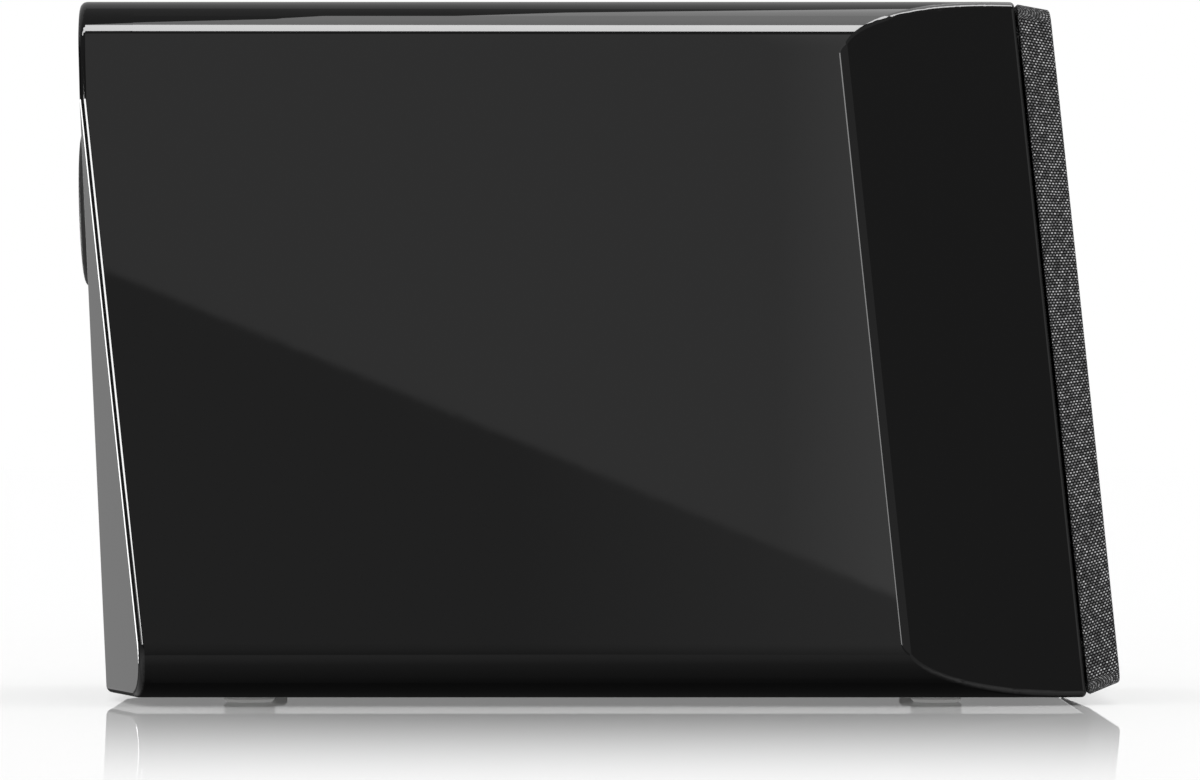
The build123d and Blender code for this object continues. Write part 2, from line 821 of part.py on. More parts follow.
def tweeter_diaphragm():
    """The soft dome with its voice coil, and the small roll that carries it."""
    base = -dome_base_depth
    inner = dome_radius - 2 * dome_thickness
    outer_via, outer_tip = dome_arc(dome_radius, dome_height, base)
    inner_via, inner_tip = dome_arc(inner, dome_height - dome_thickness, base)
    dome_face = make_face([
        ThreePointArc((dome_radius, 0, base), (outer_via[0], 0, outer_via[1]), (0, 0, outer_tip[1])),
        Line((0, 0, outer_tip[1]), (0, 0, inner_tip[1])),
        ThreePointArc((0, 0, inner_tip[1]), (inner_via[0], 0, inner_via[1]), (inner, 0, base)),
        Line((inner, 0, base), (dome_radius, 0, base)),
    ])
    dome = tweeter.location * revolve(dome_face, Axis.Z)
    former_low = base - tweeter_former_length
    coil = ring(tweeter, tweeter_former_inner, tweeter_former_outer, former_low, base)
    coil += ring(
        tweeter, tweeter_former_outer, tweeter_winding_outer, former_low, former_low + tweeter_winding_length,
    )
    inside = dome_radius + glue_gap
    outside = inside + tweeter_roll
    middle = (inside + outside) / 2
    thick = tweeter_surround_thickness
    crest = base + tweeter_roll_height
    surround = turned(
        tweeter,
        (tweeter_lip_radius, seat_back),
        (outside, seat_back),
        ((middle, crest - thick), (inside, base - thick / 2)),
        (inside, base + thick / 2),
        ((middle, crest), (outside, seat_back + thick)),
        (tweeter_lip_radius, seat_back + thick),
    )
    return dome, coil, surround


def tweeter_rear():
    """The damping cup behind the motor and its two blades."""
    cup_back = tweeter_back - rear_cup_depth
    cup = turned(
        tweeter,
        (0, cup_back),
        (rear_cup_radius, cup_back),
        (rear_cup_radius, tweeter_back),
        (rear_cup_radius - rear_cup_wall, tweeter_back),
        (rear_cup_radius - rear_cup_wall, cup_back + rear_cup_wall),
        (0, cup_back + rear_cup_wall),
    )
    tabs = [
        block(
            shifted(tweeter, side * tweeter_tab_spacing / 2, 0), tweeter_tab_width, tab_thickness,
            cup_back - tweeter_tab_length, cup_back,
        )
        for side in (-1, 1)
    ]
    return cup, group(*tabs)


def port_tube():
    """The reflex port: a straight tube, a flange on the rear board and a flared mouth."""
    outer = port_radius + port_wall
    rise = port_lip + port_flare_depth
    widen = port_crest_radius - port_radius
    flare = (widen**2 + rise**2) / (2 * widen)
    half_rise = rise / 2
    flare_via = (port_radius + flare - sqrt(flare**2 - half_rise**2), half_rise - port_flare_depth)
    corner = port_lip_round * sqrt(0.5)
    lip_via = (port_crest_radius + corner, port_lip - port_lip_round + corner)
    return turned(
        port,
        (port_radius, -port_length),
        (outer, -port_length),
        (outer, 0),
        (port_flange_radius, 0),
        (port_flange_radius, port_lip - port_lip_round),
        (lip_via, (port_crest_radius, port_lip)),
        (flare_via, (port_radius, -port_flare_depth)),
    )


cup_floor = cup_wall - cup_depth
collar_top = cup_floor + collar_thickness
washer_top = collar_top + washer_thickness
posts = [shifted(terminal, side * post_spacing / 2, 0) for side in (-1, 1)]


def terminal_cup():
    """The recessed cup, its gasket and its screws, whose heads sit flush in the flange."""
    cup = block(terminal, cup_flange_width, cup_flange_height, -cup_flange_thickness, 0, cup_flange_corner)
    cup += block(
        terminal, cup_body_width, cup_body_height, -cup_depth, -cup_flange_thickness, cup_body_corner,
    )
    cup -= block(
        terminal, cup_body_width - 2 * cup_wall, cup_body_height - 2 * cup_wall, cup_floor, cup_wall,
        cup_body_corner - cup_wall / 2,
    )
    cup = chamfer([e for e in cup.edges() if lies_on(e, terminal.origin, terminal.z_dir)], edge_break)
    for where in posts:
        cup -= ring(where, 0, stud_radius + hole_gap, -cup_depth, cup_floor)
    gasket_low = -cup_flange_thickness - cup_gasket_thickness
    gasket = block(
        terminal, cup_flange_width, cup_flange_height, gasket_low, -cup_flange_thickness, cup_flange_corner,
    )
    gasket -= block(
        terminal, cup_body_width + 2 * rebate_gap, cup_body_height + 2 * rebate_gap, gasket_low,
        -cup_flange_thickness, cup_body_corner + rebate_gap,
    )
    for where in cup_screw_planes:
        hole = ring(where, 0, screw_shank_radius + hole_gap, gasket_low, 0)
        cup -= hole + ring(where, 0, screw_head_radius + rebate_gap, 0, screw_head_height)
        gasket -= hole
    return cup, gasket, group(*[screw(where, cup_screw_length) for where in cup_screw_planes])


def post_stud(where):
    """A brass stud with a socket in its end and a cross hole for bare wire."""
    stud = ring(where, 0, stud_radius, -cup_depth - stud_tail, -stud_setback)
    stud -= ring(where, 0, stud_bore_radius, -stud_setback - stud_bore_depth, 0)
    across = Plane(where.location * Pos(0, 0, -stud_cross_depth) * Rot(90, 0, 0))
    return stud - ring(across, 0, stud_cross_radius, -2 * stud_radius, 2 * stud_radius)


def post_cap(where):
    """A fluted nut that runs on the stud and clamps the washer."""
    bore = stud_radius + hole_gap
    cap = turned(
        where,
        (bore, washer_top),
        (cap_radius, washer_top),
        (cap_radius, -cap_setback - cap_chamfer),
        (cap_radius - cap_chamfer, -cap_setback),
        (bore, -cap_setback),
    )
    for flute in around(where, cap_radius, cap_flute_count):
        cap -= ring(flute, 0, cap_flute_radius, washer_top + cap_rim, 0)
    return cap


def post_collar(where):
    """The coloured ring at the foot of a post, with its rim broken."""
    bore = stud_radius + hole_gap
    return turned(
        where,
        (bore, cup_floor),
        (collar_radius, cup_floor),
        (collar_radius, collar_top - edge_break),
        (collar_radius - edge_break, collar_top),
        (bore, collar_top),
    )


def post_inside(where):
    """The lock nut and solder tag behind the cup's floor."""
    tag_low = -cup_depth - tab_thickness
    tag = ring(where, 0, tag_radius, tag_low, -cup_depth)
    tail = shifted(where, 0, tag_tail_reach / 2)
    tag += block(tail, tag_tail_width, tag_tail_reach, tag_low, -cup_depth)
    hole = ring(where, 0, stud_radius + hole_gap, tag_low - lock_nut_thickness, -cup_depth)
    nut = shifted(where, 0, 0, tag_low - lock_nut_thickness).location * extrude(
        RegularPolygon(lock_nut_radius, 6), amount=lock_nut_thickness
    )
    return nut - hole, tag - hole


def crossover():
    """The filter board on its standoffs with coils, capacitors, resistors and screws."""
    plate = block(board, board_width, board_length, 0, board_thickness)
    standoffs = []
    for where in board_corner_planes:
        hole = pilot(where, board_screw_length)
        plate -= hole
        low = -board_thickness - standoff_height
        standoffs.append(ring(where, screw_shank_radius + hole_gap, standoff_radius, low, -board_thickness))
    screws = [screw(where, board_screw_length) for where in board_corner_planes]
    left = -board_width / 2 + 2 * board_hole_inset
    coils = [
        ring(
            shifted(board_top, left + big_coil_radius - board_hole_inset / 2, board_hole_inset * 2),
            big_coil_bore_radius, big_coil_radius, 0, big_coil_height,
        ),
        ring(
            shifted(board_top, -left - small_coil_radius - board_hole_inset / 2, board_hole_inset * 3),
            small_coil_bore_radius, small_coil_radius, 0, small_coil_height,
        ),
    ]
    y_back_row = -board_length / 2 + board_hole_inset + capacitor_radius
    capacitors = [
        shifted(
            board_top, side * (capacitor_length / 2 + board_hole_inset), y_back_row, capacitor_radius,
        ).location
        * Rot(0, 90, 0) * Cylinder(capacitor_radius, capacitor_length)
        for side in (-1, 1)
    ]
    resistors = [
        block(
            shifted(board_top, resistor_length, -resistor_width / 2), resistor_length, resistor_width, 0,
            resistor_height,
        ),
        block(
            shifted(board_top, resistor_width / 2, resistor_length / 2 + board_hole_inset / 2),
            resistor_width,
            resistor_length, 0, resistor_height,
        ),
    ]
    return plate, group(*standoffs), group(*screws), group(*coils), group(*capacitors), group(*resistors)


def lead(points):
    """A round wire along straight runs joined by arcs."""
    path = FilletPolyline(*points, radius=lead_bend)
    start = Plane(origin=path @ 0, z_dir=path % 0)
    return sweep(start * Circle(lead_radius), path=path)


def leads():
    """Three pairs of wires: from the posts to the board, and from the board to each driver."""
    wires = []
    rows = board_length / 2 - 3 * board_hole_inset / 5
    for where, x in zip(posts, (board_hole_inset, -board_hole_inset)):
        level = -cup_depth - lead_radius - glue_gap
        start = where.location * Pos(0, tag_tail_reach, level)
        rise = where.location * Pos(0, tag_tail_reach + lead_straight + lead_bend / 3, level)
        z_run = rise.position.Z
        wires.append(lead([
            start.position,
            rise.position,
            board_top.location.position + Vector(x, rows, z_run - board_top.origin.Z),
            board_top.location.position + Vector(x, rows, 0),
        ]))
    column = board_width / 2 - board_hole_inset
    blade_end = -basket_depth - strip_thickness - woofer_tab_length
    for side in (-1, 1):
        start = woofer.location * Pos(woofer_tab_reach, side * woofer_tab_spacing / 2, blade_end)
        tab_side = side * woofer_tab_spacing / 2
        away = woofer.location * Pos(woofer_tab_reach, tab_side, blade_end - lead_straight)
        y = board_hole_inset + side * woofer_tab_spacing / 2
        turn = board_top.location.position + Vector(column, y, away.position.Z - board_top.origin.Z)
        wires.append(lead([
            start.position, away.position, turn, board_top.location.position + Vector(column, y, 0),
        ]))
    blade_end = tweeter_back - rear_cup_depth - tweeter_tab_length
    for side in (-1, 1):
        start = tweeter.location * Pos(side * tweeter_tab_spacing / 2, 0, blade_end)
        away = tweeter.location * Pos(side * tweeter_tab_spacing / 2, 0, blade_end - lead_straight)
        x = side * board_hole_inset / 2 - column
        climb = away.position.Z - board_top.origin.Z
        turn = board_top.location.position + Vector(x, -board_hole_inset, climb)
        wires.append(lead([
            start.position, away.position, turn,
            board_top.location.position + Vector(x, -board_hole_inset, 0),
        ]))
    return group(*wires)


def build():
    """All nodes of the speaker by name."""
    nodes = {}
    baffle, back, top, bottom, left, right = cabinet_boards()
    nodes["front_baffle"] = drill_baffle(baffle)
    nodes["rear_panel"] = drill_back(back)
    nodes["top_panel"] = top
    for where in board_corner_planes:
        bottom -= pilot(where, board_screw_length)
    nodes["bottom_panel"] = bottom
    nodes["left_panel"] = left
    nodes["right_panel"] = right
    nodes["window_brace"] = brace()
    nodes["left_damping_pad"], nodes["right_damping_pad"], nodes["top_damping_pad"] = damping_pads()
    nodes["rubber_feet"] = feet()
    frame, cloth, pegs, sockets = grille()
    nodes["grille_frame"] = frame
    nodes["grille_cloth"] = cloth
    nodes["grille_pegs"] = pegs
    nodes["grille_sockets"] = sockets

    nodes["woofer_basket"] = woofer_basket()
    gasket_top = -woofer_flange_thickness
    woofer_gasket = ring(
        woofer, woofer_hole_radius, woofer_flange_radius, gasket_top - woofer_gasket_thickness, gasket_top,
    )
    for where in woofer_screw_planes:
        woofer_gasket -= pilot(where, woofer_screw_length)
    nodes["woofer_gasket"] = woofer_gasket
    nodes["woofer_screws"] = group(*[screw(where, woofer_screw_length) for where in woofer_screw_planes])
    nodes["woofer_top_plate"], nodes["woofer_magnet"], nodes["woofer_yoke"] = woofer_motor()
    cone, dust_cap, former, winding = woofer_diaphragm()
    nodes["woofer_cone"] = cone
    nodes["woofer_dust_cap"] = dust_cap
    nodes["woofer_coil_former"] = former
    nodes["woofer_coil_winding"] = winding
    nodes["woofer_surround"] = woofer_surround()
    nodes["woofer_spider"] = woofer_spider()
    nodes["woofer_terminal_strip"], nodes["woofer_terminal_tabs"] = woofer_terminals()

    nodes["tweeter_faceplate"] = tweeter_faceplate()
    gasket_top = -faceplate_thickness
    tweeter_gasket = ring(
        tweeter, tweeter_hole_radius, faceplate_radius, gasket_top - tweeter_gasket_thickness, gasket_top,
    )
    for where in tweeter_screw_planes:
        tweeter_gasket -= pilot(where, tweeter_screw_length)
    nodes["tweeter_gasket"] = tweeter_gasket
    nodes["tweeter_screws"] = group(*[screw(where, tweeter_screw_length) for where in tweeter_screw_planes])
    nodes["tweeter_top_plate"], nodes["tweeter_magnet"], nodes["tweeter_yoke"] = tweeter_motor()
    nodes["tweeter_dome"], nodes["tweeter_voice_coil"], nodes["tweeter_surround"] = tweeter_diaphragm()
    nodes["tweeter_rear_cup"], nodes["tweeter_terminal_tabs"] = tweeter_rear()

    nodes["port_tube"] = port_tube()
    nodes["terminal_cup"], nodes["terminal_gasket"], nodes["terminal_screws"] = terminal_cup()
    nodes["binding_post_studs"] = group(*[post_stud(where) for where in posts])
    nuts = []
    tags = []
    for where, colour in zip(posts, ("black", "red")):
        nodes[f"{colour}_post_collar"] = post_collar(where)
        washer = ring(where, stud_radius + hole_gap, washer_radius, collar_top, washer_top)
        nodes[f"{colour}_clamp_washer"] = washer
        nodes[f"{colour}_post_cap"] = post_cap(where)
        nut, tag = post_inside(where)
        nuts.append(nut)
        tags.append(tag)
    nodes["post_lock_nuts"] = group(*nuts)
    nodes["post_solder_tags"] = group(*tags)

    plate, standoffs, screws, coils, capacitors, resistors = crossover()
    nodes["crossover_board"] = plate
    nodes["board_standoffs"] = standoffs
    nodes["board_screws"] = screws
    nodes["crossover_coils"] = coils
    nodes["crossover_capacitors"] = capacitors
    nodes["crossover_resistors"] = resistors
    nodes["internal_leads"] = leads()
    return nodes


os.makedirs("parts", exist_ok=True)
for node, shape in build().items():
    export_step(shape, f"parts/{node}.step")
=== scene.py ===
"""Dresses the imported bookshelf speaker: cloth, foam, soft driver parts, finishes, studio and camera.

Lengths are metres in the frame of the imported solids: +Z is up, the grille looks along -Y and X runs across.
"""

import json
import logging
from dataclasses import dataclass, field
from enum import Enum
from math import pi, radians

import bmesh
import bpy
import numpy as np
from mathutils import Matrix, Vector


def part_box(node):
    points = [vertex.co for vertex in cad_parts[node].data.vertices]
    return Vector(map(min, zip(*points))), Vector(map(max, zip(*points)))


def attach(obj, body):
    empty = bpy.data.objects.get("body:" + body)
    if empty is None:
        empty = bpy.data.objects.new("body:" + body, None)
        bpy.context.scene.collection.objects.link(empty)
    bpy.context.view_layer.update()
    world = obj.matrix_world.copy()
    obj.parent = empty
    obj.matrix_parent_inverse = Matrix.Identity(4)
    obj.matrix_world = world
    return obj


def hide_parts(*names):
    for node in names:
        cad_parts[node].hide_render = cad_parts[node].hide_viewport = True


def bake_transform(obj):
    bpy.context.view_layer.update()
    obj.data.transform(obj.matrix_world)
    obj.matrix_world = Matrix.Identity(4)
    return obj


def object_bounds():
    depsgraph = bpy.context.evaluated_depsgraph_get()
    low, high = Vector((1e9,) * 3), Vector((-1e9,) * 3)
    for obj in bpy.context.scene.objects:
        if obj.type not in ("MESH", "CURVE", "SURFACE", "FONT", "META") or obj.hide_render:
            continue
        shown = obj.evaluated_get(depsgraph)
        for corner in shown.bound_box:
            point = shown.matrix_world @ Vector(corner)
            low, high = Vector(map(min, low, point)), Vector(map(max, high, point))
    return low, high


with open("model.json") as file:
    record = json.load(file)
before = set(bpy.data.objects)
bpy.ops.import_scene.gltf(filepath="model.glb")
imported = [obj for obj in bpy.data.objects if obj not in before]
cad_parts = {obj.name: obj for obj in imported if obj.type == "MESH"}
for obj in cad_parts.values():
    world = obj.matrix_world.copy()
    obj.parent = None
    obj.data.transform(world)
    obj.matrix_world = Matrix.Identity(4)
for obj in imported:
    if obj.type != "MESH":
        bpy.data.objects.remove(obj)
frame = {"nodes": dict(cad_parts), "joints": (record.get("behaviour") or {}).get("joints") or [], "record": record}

Array = np.ndarray
Pair = tuple[float, float]
Triple = tuple[float, float, float]
Colour = Triple
Span = tuple[float, float, float, float]
Stops = tuple[Pair, ...]
Socket = bpy.types.NodeSocket
CAD_BOX = [list(corner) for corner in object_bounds()]
SHEET_MAP = "cloth"
MERGE_DISTANCE = 1e-7
ACROSS = np.array((1.0, 0.0, 0.0))
WHITE = (1.0, 1.0, 1.0, 1.0)
PALETTE: dict[str, bpy.types.Material] = {}
log = logging.getLogger("speaker")


class Graph:
    """A node tree with short calls for the nodes that the finishes share."""

    def __init__(self, owner: bpy.types.Material | bpy.types.World, output: str = "OutputMaterial") -> None:
        """Empties the tree of a material or world and gives it an output.

        Args:
            owner: the material or world.
            output: the output node's type without its usual prefix.
        """
        owner.use_nodes = True
        self.tree = owner.node_tree
        self.tree.nodes.clear()
        self.output = self.add(output)

    def add(self, kind: str, values: dict[str | int, object] | None = None,
            **settings: object) -> bpy.types.Node:
        """Adds a shader node.

        Args:
            kind: the node's type without its usual prefix.
            values: constants or sockets for its inputs, by name or number.
            settings: properties of the node.

        Returns:
            The new node.
        """
        node = self.tree.nodes.new("ShaderNode" + kind)
        for key, value in settings.items():
            setattr(node, key, value)
        for key, value in (values or {}).items():
            self.feed(value, node.inputs[key])
        return node

    def feed(self, value: object, into: Socket) -> None:
        """Links a socket into an input, or sets a constant on it.

        Args:
            value: the socket or the constant.
            into: the input.
        """
        if isinstance(value, Socket):
            self.tree.links.new(value, into)
        else:
            into.default_value = value

    def math(self, operation: str, *terms: object) -> Socket:
        """One step of arithmetic on sockets or constants.

        Args:
            operation: name of the operation.
            terms: its operands.

        Returns:
            The result.
        """
        node = self.add("Math", operation=operation)
        for term, into in zip(terms, node.inputs):
            self.feed(term, into)
        return node.outputs[0]

    def between(self, share: Socket, start: object, end: object) -> Socket:
        """A value that runs from start to end as a share runs from 0 to 1."""
        way = self.math("SUBTRACT", end, start)
        return self.math("ADD", start, self.math("MULTIPLY", share, way))

    def span(self, value: object, low: float, high: float, start: float, end: float,
             smooth: bool = False) -> Socket:
        """Maps a value from one range to another, clamped at both ends.

        Args:
            value: socket to map.
            low: value that gives start.
            high: value that gives end.
            start: first result.
            end: last result.
            smooth: ease in and out instead of a straight line.

        Returns:
            The mapped value.
        """
        kind = "SMOOTHSTEP" if smooth else "LINEAR"
        values = {"Value": value, "From Min": low, "From Max": high, "To Min": start, "To Max": end}
        return self.add("MapRange", values, interpolation_type=kind).outputs["Result"]

    def noise(self, place: Socket, size: float, detail: float = 2.0,
              stretch: Triple = (1.0, 1.0, 1.0)) -> Socket:
        """Smooth random values between 0 and 1.

        Args:
            place: coordinates in metres.
            size: length of one lump in metres.
            detail: octaves of finer noise.
            stretch: how many times more often it changes along each axis.

        Returns:
            The noise.
        """
        stretched = self.add("Mapping", {"Vector": place, "Scale": stretch}).outputs["Vector"]
        values = {"Vector": stretched, "Scale": 1.0 / size, "Detail": detail}
        return self.add("TexNoise", values).outputs["Fac"]

    def ramp(self, factor: Socket, *stops: tuple[float, Colour]) -> Socket:
        """A colour that runs through stops.

        Args:
            factor: value between 0 and 1.
            stops: rising positions, each with its colour.

        Returns:
            The colour.
        """
        node = self.add("ValToRGB", {"Fac": factor})
        marks = node.color_ramp.elements
        marks[0].position, marks[1].position = stops[0][0], stops[-1][0]
        for stop in stops[1:-1]:
            marks.new(stop[0])
        for mark, stop in zip(marks, stops):
            mark.color = (*stop[1], 1.0)
        return node.outputs["Color"]

    def show(self, shader: Socket) -> None:
        """Makes a shader the surface that the tree shows."""
        self.feed(shader, self.output.inputs["Surface"])

    def principled(self, height: Socket, depth: float) -> bpy.types.bpy_prop_collection:
        """Shows a Principled surface whose normal is bent by a height pattern.

        Args:
            height: pattern between 0 and 1.
            depth: depth of the pattern in metres.

        Returns:
            The surface's inputs.
        """
        bump = self.add("Bump", {"Height": height, "Distance": depth, "Strength": 1.0})
        surface = self.add("BsdfPrincipled", {"Normal": bump.outputs["Normal"]})
        self.show(surface.outputs["BSDF"])
        return surface.inputs


class Grain(Enum):
    """How a surface is broken up at close range."""

    PEEL = "slow waves that sprayed lacquer leaves"
    MOULD = "fine even pits of a moulded skin"
    BRUSH = "short scratches along X"
    GROUND = "coarse crystals of ground ferrite"
    FIBRE = "long pressed fibres"
    CELL = "open cells"
    TURNS = "rows of wound wire along Z"


FINER_ACROSS = {Grain.BRUSH: 14.0, Grain.FIBRE: 5.0}
MARKS_IN_A_CLOUD = 6.0
CLOUD_REACH = (0.25, 0.75)


@dataclass(frozen=True)
class Finish:
    """One surface finish of the record, with its colour, gloss and grain.

    Attributes:
        slot: the record's material slot.
        colour: mean base colour.
        roughness: mean roughness.
        grain: how the surface is broken up.
        size: length of one mark of the grain.
        depth: depth of the grain.
        mottle: share by which the colour varies.
        gloss_spread: how far the roughness varies to each side.
        metallic: 1 for bare metal.
        coat: weight of a clear coat.
        sheen: weight of a soft fuzz.
    """

    slot: str
    colour: Colour
    roughness: float
    grain: Grain
    size: float
    depth: float
    mottle: float = 0.12
    gloss_spread: float = 0.05
    metallic: float = 0.0
    coat: float = 0.0
    sheen: float = 0.0

    def pattern(self, graph: Graph, place: Socket) -> Socket:
        """The grain as a height between 0 and 1.

        Crystals and cells take the distance to the nearest middle of a cell, wound wire the size of a sine of
        the height, and the other grains noise that is finer across their length.

        Args:
            graph: tree that gets the nodes.
            place: coordinates in metres.

        Returns:
            The height.
        """
        if self.grain in (Grain.GROUND, Grain.CELL):
            cells = graph.add("TexVoronoi", {"Vector": place, "Scale": 1.0 / self.size})
            return cells.outputs["Distance"]
        if self.grain is Grain.TURNS:
            height = graph.add("SeparateXYZ", {"Vector": place}).outputs["Z"]
            return graph.math("ABSOLUTE", graph.math("SINE", graph.math("MULTIPLY", height, pi / self.size)))
        finer = FINER_ACROSS.get(self.grain, 1.0)
        detail = 1.0 if self.grain is Grain.PEEL else 4.0
        return graph.noise(place, self.size, detail, (1.0, finer, finer))

    def material(self) -> bpy.types.Material:
        """Builds the finish: colour clouds, grain relief and uneven gloss over Object coordinates.

        The tone is the mean of a slow cloud and the grain, and the roughness follows the cloud.

        Returns:
            The material.
        """
        material = bpy.data.materials.new(self.slot)
        graph = Graph(material)
        place = graph.add("TexCoord").outputs["Object"]
        height = self.pattern(graph, place)
        cloud = graph.noise(place, MARKS_IN_A_CLOUD * self.size, 3.0)
        tone = graph.math("ADD", graph.math("MULTIPLY", cloud, 0.5), graph.math("MULTIPLY", height, 0.5))
        dark = tuple(c * (1.0 - self.mottle) for c in self.colour)
        light = tuple(c * (1.0 + self.mottle) for c in self.colour)
        low = self.roughness - self.gloss_spread
        high = self.roughness + self.gloss_spread
        surface = graph.principled(height, self.depth)
        graph.feed(graph.ramp(tone, (0.0, dark), (1.0, light)), surface["Base Color"])
        graph.feed(graph.span(cloud, *CLOUD_REACH, low, high), surface["Roughness"])
        surface["Metallic"].default_value = self.metallic
        surface["Coat Weight"].default_value = self.coat
        surface["Sheen Weight"].default_value = self.sheen
        return material


FINISHES = (
    Finish("lacquer", (0.0015, 0.0015, 0.0016), 0.016, Grain.PEEL, 0.0045, 5e-7, 0.05, 0.005),
    Finish("bare_board", (0.36, 0.24, 0.13), 0.8, Grain.FIBRE, 0.0012, 5e-5, 0.3),
    Finish("foam", (0.06, 0.06, 0.065), 0.9, Grain.CELL, 0.0011, 4e-4, 0.4, sheen=0.15),
    Finish("rubber", (0.018, 0.018, 0.018), 0.62, Grain.MOULD, 0.0006, 1.5e-5, 0.2, 0.08),
    # Smoky clear rubber, darkened further as painted shade: the feet take the grey of the shaded band under the
    # cabinet.
    Finish("clear_rubber", (0.24, 0.24, 0.236), 0.6, Grain.MOULD, 0.0008, 1e-5, 0.06, 0.06),
    Finish("frame_plastic", (0.018, 0.018, 0.019), 0.55, Grain.MOULD, 0.0005, 2e-5, 0.15),
    Finish("black_plastic", (0.01, 0.01, 0.0104), 0.5, Grain.MOULD, 0.0005, 1.2e-5, 0.15, 0.06),
    Finish("black_gloss", (0.012, 0.012, 0.012), 0.16, Grain.PEEL, 0.0012, 2e-6, 0.1, 0.03, coat=0.3),
    Finish("red_gloss", (0.46, 0.012, 0.014), 0.16, Grain.PEEL, 0.0012, 2e-6, 0.08, 0.03, coat=0.3),
    Finish("basket_paint", (0.024, 0.024, 0.026), 0.48, Grain.MOULD, 0.0004, 2.5e-5, 0.2),
    Finish("zinc_steel", (0.6, 0.6, 0.57), 0.34, Grain.BRUSH, 0.002, 5e-6, 0.12, 0.08, metallic=1.0),
    Finish("ferrite", (0.07, 0.07, 0.075), 0.6, Grain.GROUND, 0.0009, 3e-5, 0.3, 0.1),
    Finish("screw_black", (0.03, 0.03, 0.031), 0.34, Grain.BRUSH, 0.001, 4e-6, 0.2, 0.08, metallic=0.7),
    Finish("copper", (0.62, 0.25, 0.1), 0.3, Grain.TURNS, 0.0009, 1.2e-4, 0.18, 0.06, metallic=1.0),
    Finish("brass_plated", (0.86, 0.62, 0.26), 0.22, Grain.BRUSH, 0.0014, 3e-6, 0.08, 0.06, metallic=1.0),
    Finish("tinned", (0.72, 0.71, 0.68), 0.3, Grain.BRUSH, 0.001, 4e-6, 0.1, 0.08, metallic=1.0),
    Finish("former", (0.5, 0.3, 0.09), 0.4, Grain.FIBRE, 0.001, 4e-6, 0.15),
    Finish("cone_pulp", (0.03, 0.03, 0.032), 0.68, Grain.FIBRE, 0.0016, 5e-5, 0.35, 0.1),
    Finish("cap_soft", (0.02, 0.02, 0.021), 0.5, Grain.MOULD, 0.0006, 1.5e-5, 0.2),
    Finish("spider_cloth", (0.46, 0.31, 0.12), 0.75, Grain.FIBRE, 0.0006, 8e-5, 0.3),
    Finish("dome_silk", (0.022, 0.022, 0.024), 0.4, Grain.MOULD, 0.00035, 1.2e-5, 0.25, 0.08, sheen=0.2),
    Finish("strip_board", (0.28, 0.17, 0.08), 0.6, Grain.FIBRE, 0.0008, 2e-5, 0.2),
    Finish("board_green", (0.03, 0.14, 0.05), 0.3, Grain.FIBRE, 0.0007, 1e-5, 0.2, coat=0.3),
    Finish("capacitor_film", (0.55, 0.38, 0.06), 0.25, Grain.PEEL, 0.002, 8e-6, 0.1, coat=0.2),
    Finish("ceramic", (0.72, 0.7, 0.64), 0.7, Grain.MOULD, 0.0007, 3e-5, 0.08),
    Finish("lead_jacket", (0.05, 0.05, 0.055), 0.4, Grain.MOULD, 0.0006, 5e-6, 0.2),
)


